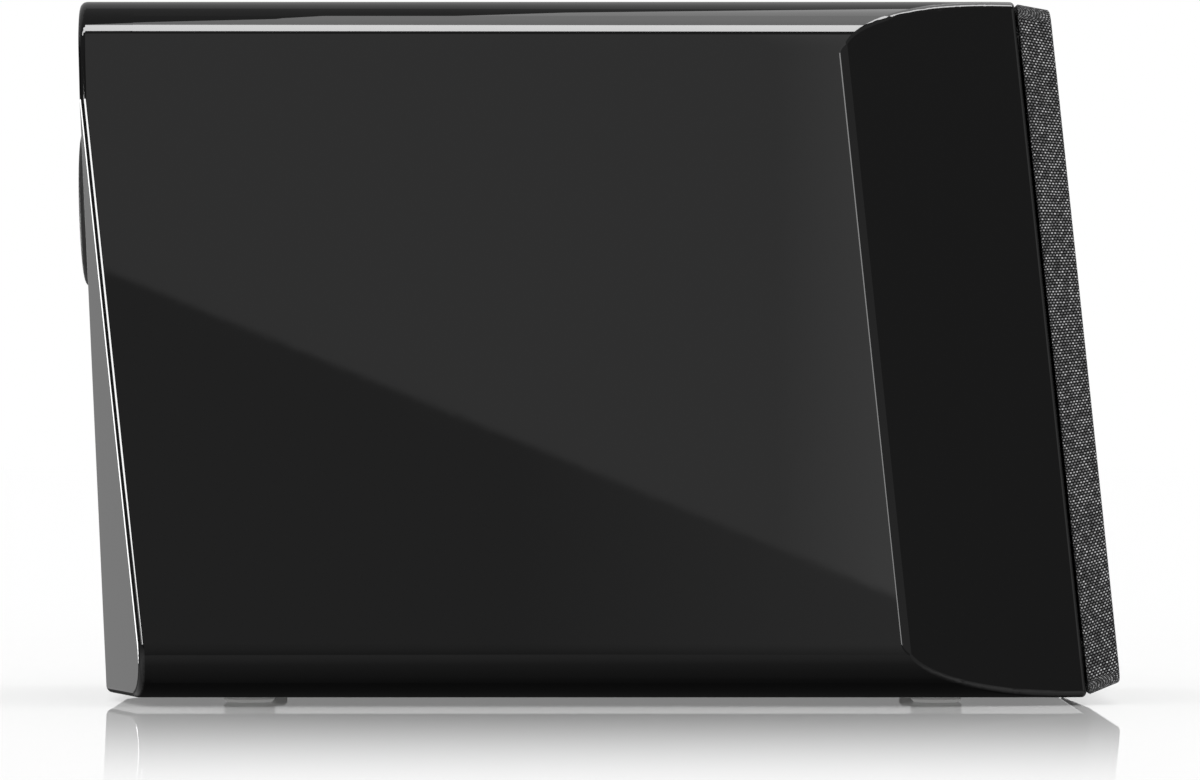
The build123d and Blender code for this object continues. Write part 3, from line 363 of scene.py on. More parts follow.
@dataclass(frozen=True)
class WovenCloth:
    """Grille cloth: rows of short grey floats over a dark ground, with painted highlights and shade on them.

    Attributes:
        slot: the record's material slot.
        row: height of one row of yarn.
        float_length: length of one float along its row.
        drift: how far the rows wander; the floats wander twice as far.
        row_lump: length over which the wandering of the rows changes.
        float_lump: length over which the wandering of the floats changes.
        row_crown: power that narrows the crown of a float across its row.
        float_crown: power that narrows it along its row.
        darkest: shade of the darkest float as a share of the palest one's.
        relief: height of a float above the ground.
        ground: colour between the floats, partly the dark warp and partly painted shade in the gaps.
        yarn: colour of a middling float.
        painted_glint: colour of the palest floats, a painted highlight that stands in for glints on the yarn.
        roughness: roughness of the darkest and of the palest float.
        gloss: strength of the dull shine of the yarn.
    """

    slot: str = "cloth"
    row: float = 0.00074
    float_length: float = 0.00092
    drift: float = 0.00018
    row_lump: float = 0.004
    float_lump: float = 0.0055
    # The crown gives the relief and also the colour: its lighter top is painted highlight, its darker edges
    # painted shade.
    row_crown: float = 2.4
    float_crown: float = 1.8
    darkest: float = 0.35
    relief: float = 0.00012
    ground: Colour = (0.001, 0.001, 0.0011)
    yarn: Colour = (0.22, 0.22, 0.223)
    # Painted highlight: the palest colour stands in for glints of light on the yarn.
    painted_glint: Colour = (0.95, 0.95, 0.96)
    roughness: Pair = (0.8, 0.6)
    gloss: float = 0.02

    def count(self, graph: Graph, flat: Socket, axis: str, lump: float, reach: float, pitch: float) -> Socket:
        """Steps of yarn along one axis of the flat cloth: the distance, moved by slow noise, over the pitch.

        Args:
            graph: tree that gets the nodes.
            flat: place on the flat cloth.
            axis: X or Y.
            lump: length over which the noise changes.
            reach: how far it moves a place to each side.
            pitch: length of one step.

        Returns:
            The number of steps.
        """
        along = graph.add("SeparateXYZ", {"Vector": flat}).outputs[axis]
        sway = graph.math("SUBTRACT", graph.noise(flat, lump), 0.5)
        moved = graph.math("ADD", along, graph.math("MULTIPLY", sway, 2.0 * reach))
        return graph.math("DIVIDE", moved, pitch)

    def chance(self, graph: Graph, steps: Socket, row: Socket) -> Socket:
        """A random number between 0 and 1 of the cell that a place is in."""
        cell = graph.add("CombineXYZ", {"X": graph.math("FLOOR", steps), "Y": row}).outputs["Vector"]
        return graph.add("TexWhiteNoise", {"Vector": cell}, noise_dimensions="2D").outputs["Value"]

    def crest(self, graph: Graph, steps: Socket, power: float) -> Socket:
        """Half a sine wave over each whole step, raised to a power."""
        wave = graph.math("SINE", graph.math("MULTIPLY", graph.math("FRACT", steps), pi))
        return graph.math("POWER", wave, power)

    def material(self) -> bpy.types.Material:
        """Builds the cloth from the sheet's own map, which is in metres of flat cloth.

        A row is the whole part of v over the row height and a float the whole part of u over its length, with
        every other row moved along by half a float. The crown of a float is the product of two half sine
        waves, and its shade is the crown times a random number of its cell. The random number is the yarn's
        own tone, while the crown puts painted light into the colour: a painted highlight on the top of each
        float that falls to painted shade in the gaps, with the palest floats as painted glints.

        Returns:
            The material.
        """
        material = bpy.data.materials.new(self.slot)
        graph = Graph(material)
        flat = graph.add("UVMap", uv_map=SHEET_MAP).outputs["UV"]
        rows = self.count(graph, flat, "Y", self.row_lump, self.drift, self.row)
        row = graph.math("FLOOR", rows)
        half_step = graph.math("MULTIPLY", graph.math("MODULO", row, 2.0), 0.5)
        floats = self.count(graph, flat, "X", self.float_lump, 2.0 * self.drift, self.float_length)
        floats = graph.math("ADD", floats, half_step)
        tone = self.chance(graph, floats, row)
        across = self.crest(graph, rows, self.row_crown)
        crown = graph.math("MULTIPLY", across, self.crest(graph, floats, self.float_crown))
        # Painted highlight and own tone: the crown lights the top of each float, and the random number gives its
        # tone.
        shade = graph.math("MULTIPLY", crown, graph.span(tone, 0.0, 1.0, self.darkest, 1.0))
        surface = graph.principled(crown, self.relief)
        stops = (0.0, self.ground), (0.5, self.yarn), (1.0, self.painted_glint)
        graph.feed(graph.ramp(shade, *stops), surface["Base Color"])
        graph.feed(graph.span(tone, 0.0, 1.0, *self.roughness), surface["Roughness"])
        # The yarn's real shine is kept faint because its glints are painted into the colour.
        surface["Specular IOR Level"].default_value = self.gloss
        return material


@dataclass(frozen=True)
class Station:
    """A plane of the speaker.

    Attributes:
        centre: its middle.
        across: direction in the plane across the speaker.
        up: direction up in the plane.
        out: direction out of the plane.
    """

    centre: Array
    across: Array
    up: Array
    out: Array

    def place(self, across: Array, up: Array, out: Array) -> Array:
        """Points of the frame at distances across, up and out of the plane, on one more axis of three."""
        parts = np.broadcast_arrays(across, up, out)
        return self.centre + sum(p[..., None] * d for p, d in zip(parts, (self.across, self.up, self.out)))


def points_of(mesh: bpy.types.Mesh) -> Array:
    """All points of a mesh.

    Args:
        mesh: the mesh.

    Returns:
        Rows of x, y and z.
    """
    flat = np.zeros(len(mesh.vertices) * 3)
    mesh.vertices.foreach_get("co", flat)
    return flat.reshape(-1, 3)


def corners(node: str) -> Array:
    """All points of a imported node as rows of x, y and z."""
    return points_of(frame["nodes"][node].data)


def radius_of(node: str) -> float:
    """Radius of a packed round node: half its width across the speaker."""
    return float(np.ptp(corners(node)[:, 0])) / 2


def joint_axis(joint: str) -> Array:
    """Direction of a packed joint."""
    return np.array(next(j["axis"] for j in frame["joints"] if j["name"] == joint), float)


def station_of(joint: str, node: str, depth: float) -> Station:
    """The plane at right angles to a sliding joint, with its centre on a round node's axis.

    Args:
        joint: name of the joint whose direction points out.
        node: a ring whose middle is on the axis.
        depth: how far that middle lies behind the plane.

    Returns:
        The plane.
    """
    out = joint_axis(joint)
    low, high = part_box(node)
    centre = np.array((low + high) / 2) + depth * out
    return Station(centre, ACROSS, np.cross(out, ACROSS), out)


def grid_mesh(name: str, points: Array, wrap_rows: bool, wrap_columns: bool, flat: Array | None = None,
              crease: float = 40.0) -> bpy.types.Object:
    """A smooth shaded mesh from a grid of points.

    Args:
        name: name of the piece.
        points: array of rows, columns and x, y, z.
        wrap_rows: join the last row to the first.
        wrap_columns: join the last column to the first.
        flat: the map of each point on the flat sheet, in metres.
        crease: angle in degrees above which an edge stays sharp.

    Returns:
        The new piece, with doubled points merged.
    """
    number = np.arange(points[..., 0].size).reshape(points.shape[:2])
    if wrap_rows:
        number = np.concatenate((number, number[:1]))
    if wrap_columns:
        number = np.concatenate((number, number[:, :1]), axis=1)
    here, down = number[:-1], number[1:]
    faces = np.stack((here[:, :-1], here[:, 1:], down[:, 1:], down[:, :-1]), axis=-1).reshape(-1, 4)
    mesh = bpy.data.meshes.new(name)
    mesh.from_pydata(points.reshape(-1, 3), [], faces.tolist())
    if flat is not None:
        sheet_map = mesh.uv_layers.new(name=SHEET_MAP)
        sheet_map.data.foreach_set("uv", flat.reshape(-1, 2)[faces.ravel()].astype(np.float32).ravel())
    shell = bmesh.new()
    shell.from_mesh(mesh)
    bmesh.ops.remove_doubles(shell, verts=shell.verts, dist=MERGE_DISTANCE)
    if flat is None:
        bmesh.ops.recalc_face_normals(shell, faces=shell.faces)
    shell.to_mesh(mesh)
    shell.free()
    mesh.shade_smooth()
    mesh.set_sharp_from_angle(angle=radians(crease))
    piece = bpy.data.objects.new(name, mesh)
    bpy.context.scene.collection.objects.link(piece)
    return piece


def turned(name: str, where: Station, outline: Array, steps: int) -> bpy.types.Object:
    """A closed outline of radius and height carried once round a plane's axis.

    Args:
        name: name of the piece.
        where: plane whose out direction is the axis.
        outline: rows of radius and height; the last joins the first.
        steps: number of positions round the axis.

    Returns:
        The new piece.
    """
    angle = np.arange(steps)[:, None] * 2 * pi / steps
    radius, height = outline[None, :, 0], outline[None, :, 1]
    points = where.place(radius * np.cos(angle), radius * np.sin(angle), height)
    return grid_mesh(name, points, True, True)


def thick_line(line: Array, thickness: float) -> Array:
    """A closed outline round an open line, half the thickness to each side along its normals.

    Args:
        line: rows of radius and height.
        thickness: distance between the two sides.

    Returns:
        Rows of radius and height that go out along one side and back along the other.
    """
    run = np.gradient(line, axis=0)
    normal = np.stack((-run[:, 1], run[:, 0]), axis=1)
    normal *= thickness / 2 / np.linalg.norm(normal, axis=1, keepdims=True)
    return np.concatenate((line + normal, (line - normal)[::-1]))


def dome_rise(radius: Array, rim: float, height: float) -> Array:
    """Heights of a spherical cap over the plane of its rim, at distances from its axis."""
    # The sphere's radius is the sum of the squares of rim and height over twice the height. The rise is the
    # height less that radius, plus the root of its square less the square of the distance.
    sphere = (rim**2 + height**2) / (2 * height)
    return height - sphere + np.sqrt(np.maximum(sphere**2 - radius**2, 0.0))


def finished(piece: bpy.types.Object, slot: str, node: str, body: str | None = None) -> None:
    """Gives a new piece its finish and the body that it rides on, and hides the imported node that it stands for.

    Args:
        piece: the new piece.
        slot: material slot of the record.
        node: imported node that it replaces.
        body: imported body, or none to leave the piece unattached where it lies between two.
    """
    piece.data.materials.append(PALETTE[slot])
    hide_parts(node)
    if body:
        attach(piece, body)
    log.info("made %s for %s", piece.name, node)


def bend_between(piece: bpy.types.Object, where: Station, inner: float, outer: float) -> None:
    """Bakes a ring's placement into its mesh and works out how far it would follow a moving body.

    The share of the moving body is an eased step of the distance from the axis; nothing uses it, so the ring
    moves with neither body.

    Args:
        piece: the ring.
        where: plane whose out direction is the axis.
        inner: radius up to which it follows the moving body.
        outer: radius from which it stays with the cabinet.
    """
    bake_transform(piece)
    offset = points_of(piece.data) - where.centre
    offset -= np.outer(offset @ where.out, where.out)
    share = np.clip((outer - np.linalg.norm(offset, axis=1)) / (outer - inner), 0.0, 1.0)
    share = share * share * (3.0 - 2.0 * share)


@dataclass
class Grille:
    """The cloth stretched over the grille frame.

    Attributes:
        round_over: radius of the cloth over the front edge.
        corner: radius of the outline's corners.
        hem: width of cloth turned in behind the frame.
        fold: points of the turn from hem to side, as inset and rise above the hem.
        thickness: thickness of the cloth.
        bevel: how far the sides lean in over the whole depth.
        stand_off: gap between the hem and the back of the frame.
        ruck: height of the small gathers at the corners.
        rucks: number of gathers in a whole turn.
        edge_steps: points along a straight edge.
        corner_steps: points round a corner.
        side_rings: rings up a side.
        round_rings: rings over the front edge.
        front_rings: rings from the front edge to the middle.
    """

    round_over: float = 0.0011
    corner: float = 0.004
    hem: float = 0.006
    fold: Stops = ((0.0006, 0.0), (0.0002, 0.0001))
    thickness: float = 0.0004
    bevel: float = 0.0024
    stand_off: float = 0.0001
    ruck: float = 0.00012
    rucks: float = 24.0
    edge_steps: int = 36
    corner_steps: int = 12
    side_rings: int = 12
    round_rings: int = 9
    front_rings: int = 14

    def outline(self) -> tuple[Array, Array]:
        """Signs of the outline's corner centres and directions of its normals, once round.

        Along a straight edge the centre runs from one corner to the next while the normal stays, and round a
        corner the normal turns a quarter while the centre stays.

        Returns:
            Rows of two signs between -1 and 1, and rows of unit normals.
        """
        quarter = np.linspace(0.0, pi / 2, self.corner_steps, endpoint=False)
        run = np.linspace(0.0, 1.0, self.edge_steps, endpoint=False)[:, None]
        spots = np.array(((1.0, 1.0), (-1.0, 1.0), (-1.0, -1.0), (1.0, -1.0)))
        centres, normals = [], []
        for side in range(4):
            here, following = spots[side], spots[(side + 1) % 4]
            bend = quarter + side * pi / 2
            ahead = (side + 1) * pi / 2
            centres += [np.repeat(here[None], self.corner_steps, axis=0), here + run * (following - here)]
            normals += [np.stack((np.cos(bend), np.sin(bend)), axis=1),
                        np.repeat(((np.cos(ahead), np.sin(ahead)),), self.edge_steps, axis=0)]
        return np.concatenate(centres), np.concatenate(normals)

    def in_corner(self) -> Array:
        """One on the points of a rounded corner and zero on the straight edges, once round."""
        part = np.concatenate((np.ones(self.corner_steps), np.zeros(self.edge_steps)))
        return np.tile(part, 4)

    def space(self) -> tuple[Station, Array, float]:
        """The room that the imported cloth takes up.

        Returns:
            The plane of its back, half its width and height, and its depth.
        """
        out = joint_axis("grille_pull")
        up = np.cross(out, ACROSS)
        axes = np.stack((ACROSS, up, out), axis=1)
        reach = corners("grille_cloth") @ axes
        low, high = reach.min(axis=0), reach.max(axis=0)
        middle = np.append((low[:2] + high[:2]) / 2, low[2])
        return Station(axes @ middle, ACROSS, up, out), (high[:2] - low[:2]) / 2, high[2] - low[2]

    def section(self, depth: float) -> Array:
        """The line of the cloth over one edge: hem, fold, leaning side and rounded front edge.

        The side is a straight line that leans in by the bevel over the depth, and an arc of the round-over's
        radius turns it into the front.

        Args:
            depth: height of the front over the back.

        Returns:
            Rows of inset from the back outline and height off the baffle.
        """
        lean = np.arctan2(self.bevel, depth)
        back = -self.thickness - self.stand_off
        edge_low = depth - self.round_over * (1.0 - np.sin(lean))
        hem = [(self.hem, back), (self.hem / 2, back)] + [(inset, back + rise) for inset, rise in self.fold]
        rise = np.linspace(0.0, edge_low, self.side_rings)
        side = np.stack((rise * np.tan(lean), rise), axis=1)
        turn = lean + np.linspace(0.0, pi / 2 - lean, self.round_rings)
        inset = side[-1, 0] + self.round_over * (np.cos(lean) - np.cos(turn))
        height = edge_low + self.round_over * (np.sin(turn) - np.sin(lean))
        return np.concatenate((hem, side, np.stack((inset, height), axis=1)[1:]))

    def build(self) -> None:
        """Makes the cloth as rings from the hem to the middle of the front.

        A ring is the rounded rectangle of the back outline taken in by an inset, at a height off the baffle.
        The map unrolls it: a front ring keeps its place, and a ring further back lies outside the front edge
        by the length of cloth between them.
        """
        where, half, depth = self.space()
        profile = self.section(depth)
        signs, normals = self.outline()
        core = half - self.corner - profile[:, None, :1]
        flat_edge = signs * core[-1] + normals * self.corner
        gather = np.sin(np.arctan2(normals[:, 1], normals[:, 0]) * self.rucks) * self.in_corner()
        fade = np.clip(1.0 - profile[:, 1] / depth, 0.0, 1.0)[:, None, None]
        outer = signs * core + normals * (self.corner + self.ruck * gather[:, None] * fade - self.ruck)
        step = np.linalg.norm(np.diff(profile, axis=0), axis=1)
        left = np.concatenate((np.cumsum(step[::-1])[::-1], (0.0,)))
        outer_map = flat_edge + normals * left[:, None, None]
        shrink = np.linspace(1.0, 0.0, self.front_rings)[1:, None, None]
        ring = np.concatenate((outer, shrink * outer[-1]))
        sheet_map = np.concatenate((outer_map, shrink * flat_edge))
        height = np.concatenate((profile[:, 1], np.full(self.front_rings - 1, profile[-1, 1])))
        points = where.place(ring[..., 0], ring[..., 1], height[:, None])
        cloth = grid_mesh("stretched_grille_cloth", points, False, True, sheet_map, 180.0)
        body = cloth.modifiers.new("cloth_body", "SOLIDIFY")
        body.thickness = self.thickness
        body.offset = -1.0
        finished(cloth, "cloth", "grille_cloth", body="grille")


@dataclass
class Damping:
    """Foam sheets with rows of rounded peaks on three inner walls.

    Attributes:
        pitch: distance between two peaks.
        swing: share of the thickness between peak and valley.
        trim: how much smaller than its space a sheet is cut.
        fill: how tightly the foam fills its shape; not used.
        steps: points along each side of a sheet.
    """

    pitch: float = 0.02
    swing: float = 0.4
    trim: float = 0.0006
    fill: float = 0.8
    steps: int = 90

    def build(self) -> None:
        """Makes the sheets; the free face looks into the cabinet."""
        for node, axis, facing in (("left_damping_pad", 0, 1), ("right_damping_pad", 0, -1),
                                   ("top_damping_pad", 2, -1)):
            pad = self.sheet(node, axis, facing)
            finished(pad, "foam", node, body="cabinet")

    def sheet(self, node: str, axis: int, facing: int) -> bpy.types.Object:
        """One sheet: a grid folded over its edges.

        The free face is the thickness less half the swing times one minus the product of two cosines. The
        rows past the edge drop to the wall and close over the back.

        Args:
            node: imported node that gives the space.
            axis: axis of the thickness.
            facing: direction of the free face along that axis.

        Returns:
            The closed sheet.
        """
        low, high = (np.array(corner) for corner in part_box(node))
        low, high = low + self.trim, high - self.trim
        size = high - low
        first, second = (i for i in range(3) if i != axis)
        u = np.linspace(0.0, 1.0, self.steps)
        x, y = np.meshgrid(low[first] + u * size[first], low[second] + u * size[second], indexing="ij")
        wave = np.cos(2 * pi * x / self.pitch) * np.cos(2 * pi * y / self.pitch)
        thickness = size[axis] * (1.0 - self.swing * (1.0 - wave) / 2)
        wall = low[axis] if facing > 0 else high[axis]
        face = np.zeros((*x.shape, 3))
        face[..., first], face[..., second] = x, y
        face[..., axis] = wall + facing * thickness
        base = face.copy()
        base[..., axis] = wall
        middle = np.broadcast_to(base.mean(axis=(0, 1)), (1, x.shape[0], 3))
        folded = np.concatenate((middle, base[:1], face, base[-1:], middle))
        caps = np.concatenate((middle[:, :1], base[:1, :1], base[:, :1], base[-1:, :1], middle[:, :1]))
        other = np.concatenate((middle[:, :1], base[:1, -1:], base[:, -1:], base[-1:, -1:], middle[:, :1]))
        close = np.broadcast_to(middle[:, :1], caps.shape)
        points = np.concatenate((close, caps, folded, other, close), axis=1)
        return grid_mesh(node + "_foam", points, False, False)


@dataclass
class Woofer:
    """Soft parts of the woofer: cone, dust cap, surround and spider.

    Attributes:
        gasket_depth: how far the gasket's middle lies behind the front plane.
        rim_depth: depth of the cone's rim behind the front plane.
        cone_depth: depth of the cone's neck behind its rim.
        neck_radius: radius of the neck.
        cone_thickness: thickness of the cone.
        belly: how far the cone bulges back from a straight line.
        ribs: number of raised rings in a whole cone.
        rib_height: height of a raised ring.
        rib_zone: shares of the way from rim to neck between which the rings are raised.
        cap_radius: radius of the dust cap.
        cap_height: height of the dust cap over its rim.
        cap_rim: width of its flat glue rim.
        cap_thickness: thickness of the dust cap.
        seat_depth: depth of the surround's seat behind the front plane.
        seat_inset: how far outside the roll the flat part of the surround ends.
        roll: width of the half roll.
        lip: width of the surround's lip on the cone.
        rubber_thickness: thickness of the surround.
        glue: gap to the cone that glue fills.
        spider_depth: depth of the spider's seat behind the front plane.
        spider_lift: height of the spider's middle over its seat.
        spider_flat: width of the spider's flat rim.
        spider_waves: number of waves between rim and coil.
        spider_wave: height of a wave.
        spider_thickness: thickness of the spider.
        steps: positions round the axis.
        cone_points: points along the cone's line.
        arc_points: points along the lines of the dust cap and the half roll.
        lip_points: points along the lip.
        spider_points: points along the spider's waves.
        where: the front plane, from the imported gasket.
        cone_radius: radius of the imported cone.
    """

    gasket_depth: float = 0.004
    rim_depth: float = 0.00135
    cone_depth: float = 0.0152
    neck_radius: float = 0.013
    cone_thickness: float = 0.0008
    belly: float = 0.0009
    ribs: int = 3
    rib_height: float = 0.00035
    rib_zone: Pair = (0.14, 0.8)
    cap_radius: float = 0.0165
    cap_height: float = 0.0055
    cap_rim: float = 0.0009
    cap_thickness: float = 0.0004
    seat_depth: float = 0.0012
    seat_inset: float = 0.0008
    roll: float = 0.008
    lip: float = 0.0028
    rubber_thickness: float = 0.0006
    glue: float = 0.0002
    spider_depth: float = 0.0225
    spider_lift: float = 0.00025
    spider_flat: float = 0.003
    spider_waves: int = 3
    spider_wave: float = 0.0012
    spider_thickness: float = 0.0004
    steps: int = 160
    cone_points: int = 120
    arc_points: int = 40
    lip_points: int = 6
    spider_points: int = 90
    where: Station = field(init=False)
    cone_radius: float = field(init=False)

    def build(self) -> None:
        """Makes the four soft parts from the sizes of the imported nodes."""
        self.where = station_of("woofer_travel", "woofer_gasket", self.gasket_depth)
        self.cone_radius = radius_of("woofer_cone")
        self.cone()
        self.dust_cap()
        self.surround()
        self.spider()

    def share(self, radius: Array | float) -> Array | float:
        """Share of the way from the cone's rim to its neck."""
        return (self.cone_radius - radius) / (self.cone_radius - self.neck_radius)

    def front(self, radius: Array | float) -> Array | float:
        """Height of a straight cone at a radius: a line from the rim to the neck."""
        return -self.rim_depth - self.cone_depth * self.share(radius)

    def cone(self) -> None:
        """The cone: a straight line with a slight belly and low raised rings, given a thickness."""
        radius = np.linspace(self.cone_radius, self.neck_radius, self.cone_points)
        share = self.share(radius)
        swell = np.clip(np.sin(2 * pi * self.ribs * share), 0.0, 1.0) ** 4
        inside = (share > self.rib_zone[0]) * (share < self.rib_zone[1])
        height = self.front(radius) - self.cone_thickness / 2 - self.belly * np.sin(pi * share) * share
        line = np.stack((radius, height + self.rib_height * swell * inside), axis=1)
        piece = turned("pressed_cone", self.where, thick_line(line, self.cone_thickness), self.steps)
        finished(piece, "cone_pulp", "woofer_cone", body="woofer_diaphragm")

    def dust_cap(self) -> None:
        """The dust cap: a spherical cap with a short flat glue rim."""
        arc = np.linspace(self.cap_radius, 0.0, self.arc_points)
        radius = np.concatenate(((self.cap_radius + self.cap_rim,), arc))
        height = self.front(self.cap_radius) + dome_rise(radius, self.cap_radius, self.cap_height)
        height[0] = self.front(radius[0]) + self.glue
        line = np.stack((radius, height), axis=1)
        under = line[::-1] - np.array((0.0, self.cap_thickness))
        piece = turned("domed_dust_cap", self.where, np.concatenate((line, under)), self.steps)
        finished(piece, "cap_soft", "woofer_dust_cap", body="woofer_diaphragm")

    def surround(self) -> None:
        """The half roll: flat on the frame, half a circle over the gap and a lip down the cone."""
        outer = self.cone_radius + self.roll
        middle = (outer + self.cone_radius) / 2
        lift = self.glue + self.rubber_thickness / 2
        level = -self.seat_depth + self.rubber_thickness / 2
        inner_level = self.front(self.cone_radius) + lift
        turn = np.linspace(0.0, pi, self.arc_points)
        base = level + (inner_level - level) * turn / pi
        arc = np.stack((middle + self.roll / 2 * np.cos(turn), base + self.roll / 2 * np.sin(turn)), axis=1)
        lip = np.linspace(self.cone_radius, self.cone_radius - self.lip, self.lip_points)[1:]
        lip_line = np.stack((lip, self.front(lip) + lift), axis=1)
        flat = np.array(((radius_of("woofer_surround"), level), (outer + self.seat_inset, level)))
        line = thick_line(np.concatenate((flat, arc, lip_line)), self.rubber_thickness)
        piece = turned("rubber_half_roll", self.where, line, self.steps)
        finished(piece, "rubber", "woofer_surround")
        bend_between(piece, self.where, self.cone_radius, outer)

    def spider(self) -> None:
        """The spider: a flat rim and sine waves toward the coil."""
        rim = radius_of("woofer_spider")
        start = rim - self.spider_flat
        level = -self.spider_depth + self.spider_lift
        share = np.linspace(0.0, 1.0, self.spider_points)
        wave = self.spider_wave * np.sin(2 * pi * self.spider_waves * share)
        waves = np.stack((start + (self.neck_radius - start) * share, level + wave), axis=1)
        line = thick_line(np.concatenate((((rim, level),), waves)), self.spider_thickness)
        piece = turned("corrugated_spider", self.where, line, self.steps)
        finished(piece, "spider_cloth", "woofer_spider")
        bend_between(piece, self.where, self.neck_radius, start)


@dataclass
class Tweeter:
    """Soft parts of the tweeter: the silk dome and its small roll.

    Attributes:
        gasket_depth: how far the gasket's middle lies behind the front plane.
        base_depth: depth of the dome's rim behind the front plane.
        dome_height: height of the dome over its rim.
        dome_thickness: thickness of the silk.
        roll: width of the roll.
        roll_height: height of the roll.
        glue: gap between the dome's rim and the roll.
        seat_depth: depth of the roll's seat behind the front plane.
        seat_lift: height of the roll's rim over its seat.
        steps: positions round the axis.
        dome_points: points along the dome's line.
        roll_points: points along the roll's line.
        where: the front plane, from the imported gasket.
        rim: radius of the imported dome.
    """

    gasket_depth: float = 0.0045
    base_depth: float = 0.0056
    dome_height: float = 0.0042
    dome_thickness: float = 0.0003
    roll: float = 0.0019
    roll_height: float = 0.0009
    glue: float = 0.0002
    seat_depth: float = 0.006
    seat_lift: float = 0.0002
    steps: int = 120
    dome_points: int = 40
    roll_points: int = 24
    where: Station = field(init=False)
    rim: float = field(init=False)

    def build(self) -> None:
        """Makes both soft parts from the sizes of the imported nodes."""
        self.where = station_of("tweeter_travel", "tweeter_gasket", self.gasket_depth)
        self.rim = radius_of("tweeter_dome")
        self.dome()
        self.surround()

    def dome(self) -> None:
        """The dome: a spherical cap with an inner side that is narrower and lower by the thickness."""
        radius = np.linspace(self.rim, 0.0, self.dome_points)
        line = np.stack((radius, dome_rise(radius, self.rim, self.dome_height) - self.base_depth), axis=1)
        narrower = np.array((1.0 - self.dome_thickness / self.rim, 1.0))
        inner = line[::-1] * narrower - np.array((0.0, self.dome_thickness))
        piece = turned("silk_dome", self.where, np.concatenate((line, inner)), self.steps)
        finished(piece, "dome_silk", "tweeter_dome", body="tweeter_diaphragm")

    def surround(self) -> None:
        """The roll: half a sine wave on a line from the dome's rim to the seat, then a flat rim."""
        start = self.rim + self.glue
        share = np.linspace(0.0, 1.0, self.roll_points)
        level = -self.base_depth + (self.base_depth - self.seat_depth + self.seat_lift) * share
        crest = level + self.roll_height * np.sin(pi * share)
        wave = np.stack((start + self.roll * share, crest), axis=1)
        line = np.concatenate((wave, ((radius_of("tweeter_surround"), level[-1]),)))
        piece = turned("silk_roll", self.where, thick_line(line, self.dome_thickness), self.steps)
        finished(piece, "dome_silk", "tweeter_surround")
        bend_between(piece, self.where, start, start + self.roll)


@dataclass(frozen=True)
class Card:
    """A light card that shows only in polished surfaces.

    Attributes:
        name: name of the card.
        outline: its corners in order.
        glow: its radiance.
    """

    name: str
    outline: tuple[Triple, ...]
    glow: float

    @classmethod
    def upright(cls, name: str, start: Pair, end: Pair, low: float, high: float, glow: float) -> "Card":
        """A card that stands on a line of the plan, between a low and a high edge."""
        return cls(name, ((*start, low), (*end, low), (*end, high), (*start, high)), glow)

    @classmethod
    def level(cls, name: str, plan: Stops, height: float, glow: float) -> "Card":
        """A card that hangs level over a plan of x and y."""
        return cls(name, tuple((*spot, height) for spot in plan), glow)


